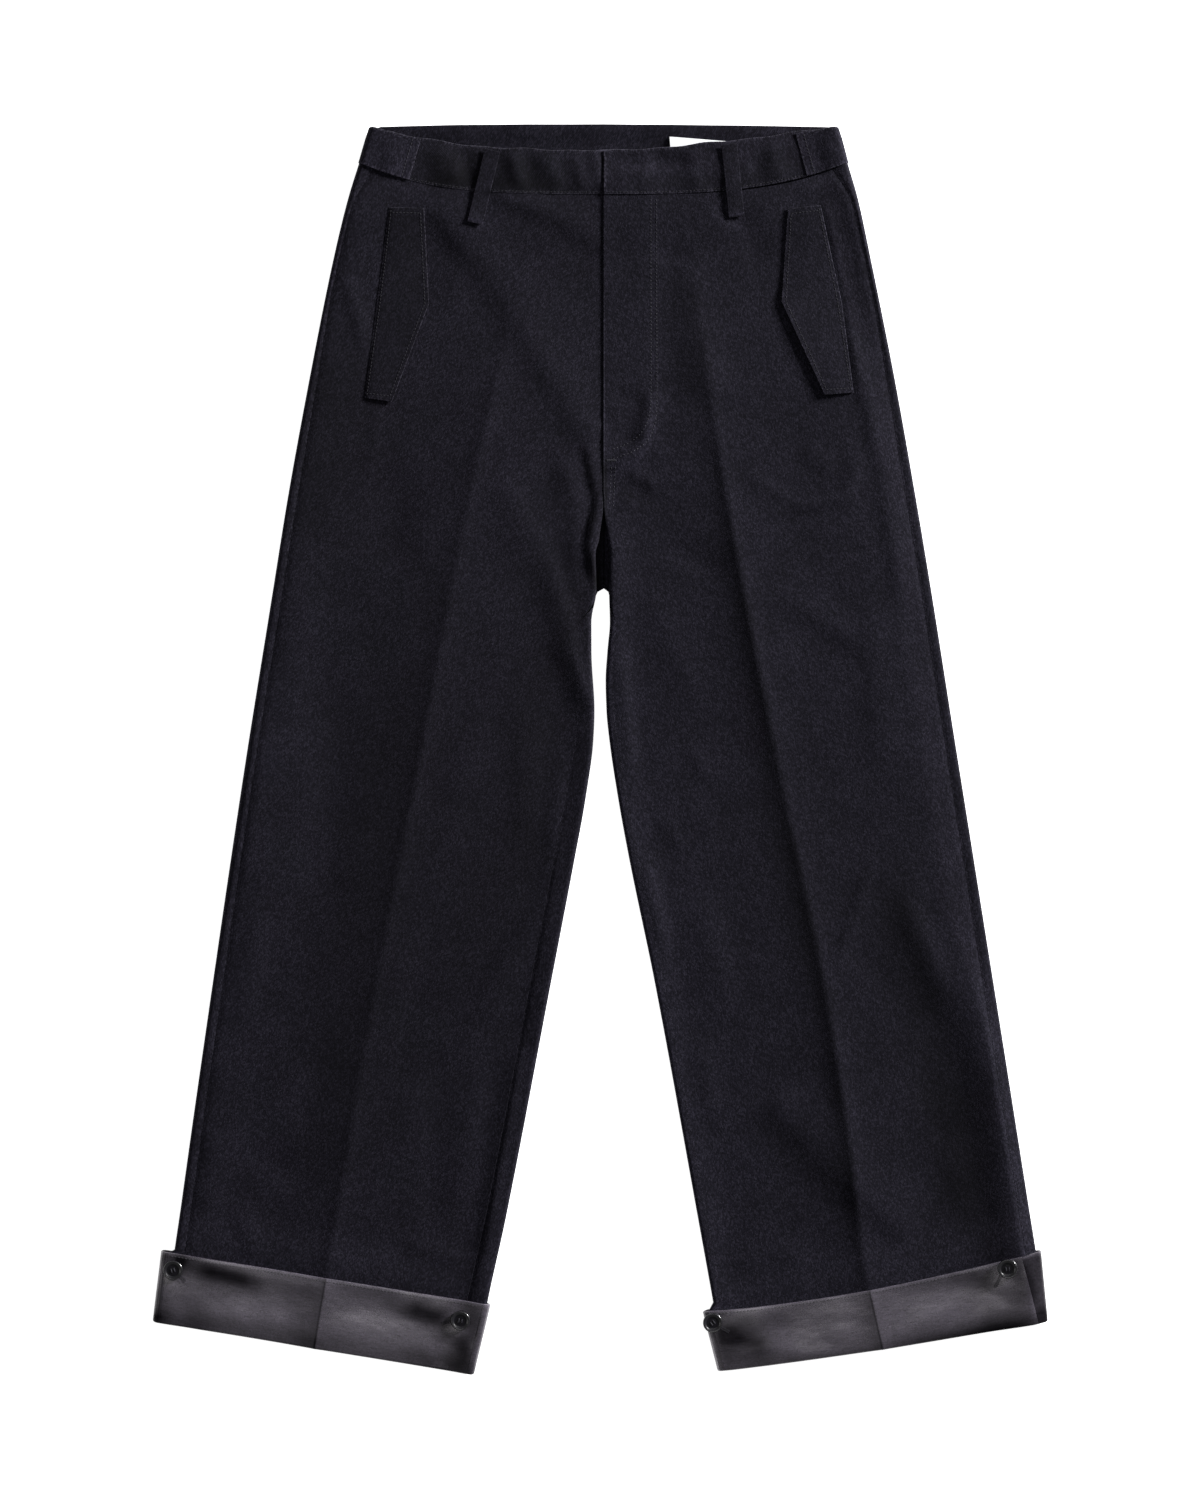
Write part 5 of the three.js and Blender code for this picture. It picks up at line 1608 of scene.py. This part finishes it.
def turn_up(side):
    front, back = cuff_grids(side)
    half = CUFF_CLOTH / 2
    front_piece = cloth_shell(
        f"cuff_front_{side}", front, SIGN[side], half, half, round_edge=CUFF_RIM, fade=satin_painted_sheen,
    )
    back_piece = cloth_shell(
        f"cuff_behind_{side}", back, -SIGN[side], half, half, round_edge=CUFF_RIM, fade=back_satin_painted_sheen,
    )
    finish_cloth(front_piece, satin, f"turn_up_front_{side}")
    finish_cloth(back_piece, satin, f"turn_up_back_{side}")


for side in SIGN:
    turn_up(side)

# %% [markdown]
# ## Buttons
# One four-hole button is modelled as a turner would make it: a disc, with a dished face inside a
# raised rim, softened edges and four drilled holes. It is then copied, each copy with its own mesh.
# Lathing a profile would give the same disc, but insets and a bevel are quicker to change.

# %% One button
BUTTON_RADIUS, BUTTON_THICK = 8.1 * MM, 2.9 * MM
BUTTON_INSETS = [(1.5, 0), (1.1, -0.9), (0.5, -0.1), (2.1, 0.15)]  # in from the edge, (width, rise)
BUTTON_RIM = 2.7 * MM
HOLE_OFFSET, HOLE_RADIUS = 1.75 * MM, 0.85 * MM


def add_cylinder(sides, radius, height, place=(0, 0, 0), turn=(0, 0, 0)):
    bpy.ops.object.select_all(action="DESELECT")
    bpy.ops.mesh.primitive_cylinder_add(
        vertices=sides, radius=radius, depth=height, location=place, rotation=turn
    )
    bpy.ops.object.transform_apply(location=True, rotation=True)
    return bpy.context.object


def select_faces(piece, wanted):
    bpy.ops.object.mode_set(mode="EDIT")
    bpy.ops.mesh.select_mode(type="FACE")
    mesh = bmesh.from_edit_mesh(piece.data)
    for face in mesh.faces:
        face.select = wanted(face)
    mesh.select_flush_mode()
    bmesh.update_edit_mesh(piece.data)


button = add_cylinder(48, BUTTON_RADIUS, BUTTON_THICK, (0, 0, BUTTON_THICK / 2))
select_faces(button, lambda face: face.normal.z > 0.9)
for width, rise in BUTTON_INSETS:
    bpy.ops.mesh.inset(thickness=width * MM, depth=rise * MM)
bpy.ops.object.mode_set(mode="OBJECT")
soft_edge = button.modifiers.new("soft edge", "BEVEL")
soft_edge.width, soft_edge.segments, soft_edge.angle_limit = 0.75 * MM, 5, math.radians(35)
bpy.ops.object.modifier_apply(modifier=soft_edge.name)
print("button faces:", len(button.data.polygons))

# %% Its four holes
for k in range(4):
    angle = math.pi / 4 + k * math.pi / 2
    at = (HOLE_OFFSET * math.cos(angle), HOLE_OFFSET * math.sin(angle), BUTTON_THICK / 2)
    drill = add_cylinder(16, HOLE_RADIUS, 3 * BUTTON_THICK, at)
    select_only(button)
    hole = button.modifiers.new("hole", "BOOLEAN")
    hole.object, hole.operation, hole.solver = drill, "DIFFERENCE", "EXACT"
    bpy.ops.object.modifier_apply(modifier=hole.name)
    bpy.data.objects.remove(drill, do_unlink=True)
on_rim = [float(math.hypot(v.co.x, v.co.y) > BUTTON_RADIUS - BUTTON_RIM) for v in button.data.vertices]
button.data.attributes.new("rim", "FLOAT", "POINT").data.foreach_set("value", on_rim)
print("points on the rim:", int(sum(on_rim)))

# %% [markdown]
# ## Sewing
# One stitch is modelled: a short length of thread, fat in the middle, whose ends dive into the
# cloth. Seams, tacks and buttonholes are made of copies of it, laid along lines on the cloth.
# A dashed texture would be lighter, but real thread stands up and catches the light.

# %% One stitch
STITCH_LENGTH = 2.5 * MM
STITCH_BODY, STITCH_RADIUS = 1.3 * MM, 0.36 * MM
stitch = add_cylinder(6, STITCH_RADIUS, STITCH_BODY, turn=(0, math.pi / 2, 0))
for way in (1, -1):
    select_faces(stitch, lambda face: face.normal.x * way > 0.9)
    bpy.ops.mesh.extrude_region_move(TRANSFORM_OT_translate={"value": (0.6 * way * MM, 0, -0.22 * MM)})
    bpy.ops.transform.resize(value=(1, 0.62, 0.62))
    bpy.ops.object.mode_set(mode="OBJECT")
stitch_points = np.array([v.co for v in stitch.data.vertices])
stitch_faces = [tuple(f.vertices) for f in stitch.data.polygons]
bpy.data.objects.remove(stitch, do_unlink=True)
print("faces in a stitch:", len(stitch_faces))


# %% Laying stitches along a line
LOOK = 0.6  # the way of a stitch is read this far to both sides of it
TACK_REACH = 1.2


def distances_along(run):
    return np.concatenate([[0], np.cumsum(np.linalg.norm(np.diff(run, axis=0), axis=1))])


def walk(run, pitch):
    """Evenly spaced places along a line of points, with the way that the line goes at each."""
    total = distances_along(run)
    count = max(1, int(total[-1] / pitch))
    at = (np.arange(count) + 0.5) * total[-1] / count

    def read(where):
        return np.stack([np.interp(where, total, run[:, k]) for k in range(3)], axis=1)

    ways = read(np.minimum(at + LOOK, total[-1])) - read(np.maximum(at - LOOK, 0))
    return read(at), ways / np.linalg.norm(ways, axis=1, keepdims=True)


def sew(name, runs, thread, pitch=3.1, length=2.4, thick=1.0, sink=0.08):
    """runs are lines of points in millimetres on the face of the cloth."""
    points, faces = [], []
    grow = length * MM / STITCH_LENGTH
    for run in runs:
        places, ways = walk(run, pitch)
        for place, way in zip(places, ways):
            side_way = np.cross([0, 0, 1.0], way)
            side_way /= np.linalg.norm(side_way)
            up = np.cross(way, side_way)
            turned = (
                stitch_points[:, :1] * grow * way
                + stitch_points[:, 1:2] * thick * side_way
                + stitch_points[:, 2:3] * thick * up
            )
            first = len(points) * len(stitch_points)
            points.append(turned + (place - up * sink) * MM)
            faces.extend(tuple(k + first for k in face) for face in stitch_faces)
    mesh = bpy.data.meshes.new(name)
    mesh.from_pydata(np.concatenate(points).tolist(), [], faces)
    mesh.update()
    seam = bpy.data.objects.new(name, mesh)
    bpy.context.scene.collection.objects.link(seam)
    finish_piece(seam, thread)
    print(f"{name}: {len(points)} stitches")
    return seam


def on_cloth(places, height_at, lift=0.0, step=2.0):
    """A line through (x, down) places, followed closely along the cloth."""
    places = np.array(places, float)
    total = distances_along(places)
    at = np.linspace(0, total[-1], max(2, int(total[-1] / step) + 1))
    x, down = np.interp(at, total, places[:, 0]), np.interp(at, total, places[:, 1])
    return in_part(x, down, height_at(x, down) + lift)


def rounded(places, passes=3):
    """Cuts the corners of a line so that it curves."""
    places = np.array(places, float)
    for _ in range(passes):
        a, b = places[:-1] * 0.75 + places[1:] * 0.25, places[:-1] * 0.25 + places[1:] * 0.75
        places = np.concatenate([places[:1], np.stack([a, b], axis=1).reshape(-1, 2), places[-1:]])
    return places


def bar_tack(place, way, width, height_at, lift=0.0, rows=9):
    """Close zigzag across a line: short runs side by side."""
    x, down = place
    way = np.array(way, float) / np.linalg.norm(way)
    across = np.array([way[1], -way[0]])
    runs = []
    for k in range(rows):
        middle = np.array([x, down]) + across * width * ((k + 0.5) / rows - 0.5)
        ends = [middle - way * TACK_REACH, middle + way * TACK_REACH]
        runs.append(on_cloth(ends, height_at, lift, step=TACK_REACH))
    return runs


# %% Seams of the fly
J_OUTER = [(43.5, 62), (43.6, 120), (43.8, 180), (44.0, 225), (43.6, 245), (38, 262), (25, 272), (6.6, 278)]
J_INNER = [(38.8, 62), (38.9, 120), (39.0, 180), (39.2, 222), (38.4, 240), (33, 255), (22, 264.5), (6.6, 270)]
RISE_LINES = [[(6.2, 284), (4.4, 316)], [(9.4, 284), (7.6, 318)]]
left_front = panel_height("left")
fly_runs = [on_cloth(rounded(line), left_front) for line in (J_OUTER, J_INNER)]
sew("fly_sewing", fly_runs, black_thread, pitch=3.0, length=1.8)
rise_runs = [on_cloth(line, left_front) for line in RISE_LINES]
sew("rise_sewing", rise_runs, black_thread, pitch=3.0, length=1.8)
sew("fly_tack", bar_tack((6.3, 279), (0, 1), 8, left_front, rows=10), black_thread, pitch=2.4)

# %% Seams of the waist
BAND_SEAM_SHARE = 0.045  # how far up the band its lower line of stitches runs
band_runs = []
for side in SIGN:
    line = band_line(side, BAND_SEAM_SHARE)
    points, _ = line.on_front(np.arange(TAB_SEAM + 22, line.width - 1.5, 2.0))
    points[:, 2] += band_swell(BAND_SEAM_SHARE)
    band_runs.append(points)
sew("waist_sewing", band_runs, dull_thread, pitch=2.9, thick=0.8)


def tab_run(side, inset):
    rows = []
    for share in np.linspace(0.95, 0.03, 14):
        line = band_line(side, share)
        points, _ = line.on_front(tab_end(line, share) - inset)
        rows.append(points[0] + [0, 0, TAB_CLOTH + LAID_GAP])
    return np.array(rows)


sew("tab_sewing", [tab_run(side, 6.2) for side in SIGN], dull_thread, pitch=2.8)

# %% Seams of the flaps
FREE_LINE = [(0.05, 0.08), (0.05, 0.9), (1.0, 0.93), (1.95, 0.88), (1.95, 0.1)]  # places (t, share)
flap_runs = []
for side in SIGN:
    t, share = (
        np.concatenate([np.linspace(a[k], b[k], 30) for a, b in zip(FREE_LINE[:-1], FREE_LINE[1:])])
        for k in (0, 1)
    )
    flap_runs.append(flap_point(side, t, share))
    flap_runs.append(flap_point(side, np.linspace(0.02, 1.98, 60), np.full(60, 0.06)))
sew("flap_sewing", flap_runs, dull_thread, pitch=2.9, thick=0.9)

# %% Seams of the loops
loop_runs, loop_tacks, foot_tacks = [], [], []
for side in SIGN:
    for part in (-0.34, 0.34):
        loop_runs.append(loop_point(side, np.linspace(0.03, 0.97, 40), np.full(40, part)))
    for share, tacks in ((0.03, loop_tacks), (0.962, foot_tacks)):
        for part in np.linspace(-0.48, 0.48, 14):
            tacks.append(loop_point(side, np.array([share - 0.018, share + 0.018]), np.array([part, part])))
sew("loop_sewing", loop_runs, dull_thread, pitch=2.7, thick=0.9)
sew("loop_tacks", loop_tacks, dull_thread, pitch=2.6, length=2.3, thick=0.9)
sew("loop_foot_tacks", foot_tacks, satin_thread, pitch=2.6, length=2.3, thick=1.0)


def inside_band(x, down):
    return np.full_like(x, LOOP_LIFT + BAND_CLOTH + 0.25, dtype=float)


band_tacks = []
for x in (-105, -2, 100):
    band_tacks += bar_tack((x, 6.2), (0, 1), 9, inside_band)
sew("inside_tacks", band_tacks, black_thread, pitch=2.4)

# %% Seams of the turn-ups
CUFF_SEAM = 2.2  # below the top edge
cuff_runs = []
for side in SIGN:
    cuff = CUFF[side]
    line = cuff_line(side, cuff["height"] - CUFF_SEAM)
    stops = np.arange(cuff["seam_outer"][1] + 2, line.width - cuff["seam_inner"] - 2, 2.0)
    cuff_runs.append(line.on_front(stops)[0])
sew("turn_up_sewing", cuff_runs, satin_thread, pitch=2.9, thick=0.9)

# %% [markdown]
# ## Buttonholes and fastened buttons
# Each turn-up is buttoned at both ends. The button covers most of its hole, and the hole's end
# shows beside it as a small slit with close stitches along both lips.

# %% Buttons in place
BUTTON_TURN = {"right_outer": 20, "right_inner": -12, "left_inner": 35, "left_outer": 8}
SEAT_RING = 7  # the cloth under a button is read this far from its centre
SEAT_LEVEL, SEAT_LIFT = 85, 0.15  # a percentile of those heights, and the gap above it
BUTTON_TILT = 0.6  # the share of the cloth's slope that a button takes
THREAD_REACH = (1.24, 1.5)  # from the middle to each of the two ties, and half a tie's length
THREAD_SINK = 0.65  # below the top of the rim
for name, (at_x, at_down) in BUTTONS.items():
    copy = bpy.data.objects.new(f"sewn_button_{name}", button.data.copy())
    bpy.context.scene.collection.objects.link(copy)
    angles = np.linspace(0, 2 * math.pi, 13)
    around = satin_height(at_x + SEAT_RING * np.cos(angles), at_down + SEAT_RING * np.sin(angles))
    seat = float(np.percentile(around, SEAT_LEVEL)) + SEAT_LIFT
    right, left = satin_height(at_x + np.array([SEAT_RING, -SEAT_RING]), np.full(2, at_down))
    slope_x = float(right - left) / (2 * SEAT_RING)
    turn = math.radians(BUTTON_TURN[name])
    spun = np.array([v.co for v in copy.data.vertices])
    spin = np.array([[math.cos(turn), math.sin(turn)], [-math.sin(turn), math.cos(turn)]])
    spun[:, :2] = spun[:, :2] @ spin
    spun[:, 2] += spun[:, 0] * slope_x * BUTTON_TILT
    spun += in_part(at_x, at_down, seat) * MM
    copy.data.vertices.foreach_set("co", spun.ravel())
    copy.data.update()
    finish_piece(copy, button_finish, [f"button_{name}"], degrees=35)
    top = in_part(at_x, at_down, seat + BUTTON_THICK / MM - THREAD_SINK)
    across, along = (np.array([*row, 0]) * reach for row, reach in zip(spin, THREAD_REACH))
    ties = [np.array([top + across * way - along, top + across * way + along]) for way in (-1, 1)]
    sew(f"button_thread_{name}", ties, black_thread, pitch=4.0, length=3.6, thick=1.25)
bpy.data.objects.remove(button, do_unlink=True)

# %% Buttonholes
HOLES = [  # from the button to the end that shows, as (x, down)
    ((-352, 955), (-347, 960)),
    ((-127, 993), (-135, 995)),
    ((96, 998), (104, 1002)),
    ((329, 955), (324, 965)),
]
LIP = 0.75  # half the width of a hole, and the spacing and half-length of its stitches
hole_runs = []
for ends in HOLES:
    start, end = np.array(ends, float)
    length = np.linalg.norm(end - start)
    way = (end - start) / length
    across = np.array([way[1], -way[0]]) * LIP
    for lip in (-1, 1):
        for step in np.arange(0, length, LIP):
            middle = start + way * step + across * lip
            hole_runs.append(on_cloth([middle - across, middle + across], satin_height, 0.05, step=LIP))
sew("buttonholes", hole_runs, dull_thread, pitch=1.5, length=1.6, thick=0.7)

# %% [markdown]
# ## The floor, light and camera
# The trousers lie on a white table that is lit from inside, as for a cut-out, so that no shadow of
# theirs shows on it. The camera looks straight down from about three metres with a longish lens,
# which keeps the outline true. The key is a soft light, far off and very low on the right, so that
# each crease has a lit side and a dark side. On black cloth nothing else would show the creases.

# %% Floor
FLOOR_GLOW = 0.85
bpy.ops.object.select_all(action="DESELECT")
bpy.ops.mesh.primitive_plane_add(size=9, location=(0, 0, -0.0004))
floor = bpy.context.object
floor.name = "floor"
pale = Finish("pale floor", 0.9, 0.1)
cloud = pale.speckle(pale.on_object(), 1.5)
pale.feed(pale.ramp(cloud, (0.3, grey(0.9)), (0.7, grey(0.92))), "Base Color")
pale.inputs["Emission Color"].default_value = (1, 1, 1, 1)
pale.inputs["Emission Strength"].default_value = FLOOR_GLOW
floor.data.materials.append(pale.material)

# %% Camera
LENS, SENSOR = 85, 36
FRAME_HEIGHT = 1.245  # metres of table from the bottom to the top of the picture
camera_data = bpy.data.cameras.new("camera")
camera_data.lens, camera_data.sensor_width = LENS, SENSOR
camera_data.sensor_fit = "AUTO"
camera = bpy.data.objects.new("camera", camera_data)
camera.location = (0, 0, FRAME_HEIGHT * LENS / SENSOR + 0.006)
bpy.context.scene.collection.objects.link(camera)
bpy.context.scene.camera = camera
print("camera height, m:", round(camera.location.z, 3))


# %% Lights
def soft_light(name, place, size, power):
    """A square light that looks at the middle of the table; size in metres, power in watts."""
    data = bpy.data.lights.new(name, "AREA")
    data.shape, data.size, data.energy = "SQUARE", size, power
    lamp = bpy.data.objects.new(name, data)
    lamp.location = place
    lamp.rotation_euler = (-Vector(place)).to_track_quat("-Z", "Y").to_euler()
    bpy.context.scene.collection.objects.link(lamp)
    return lamp


soft_light("key, low on the right", (4.95, 3.0, 1.35), size=1.1, power=1500)
soft_light("fill, on the left", (-4.5, -0.6, 2.6), size=2.2, power=12)
soft_light("overhead, for the satin", (0.05, 0.1, 3.3), size=1.15, power=9)
world = bpy.data.worlds.new("even glow")
bpy.context.scene.world = world
world.use_nodes = True
world.node_tree.nodes["Background"].inputs["Color"].default_value = (1, 1, 1, 1)
world.node_tree.nodes["Background"].inputs["Strength"].default_value = 0.2
bpy.context.scene.view_settings.view_transform = "Standard"
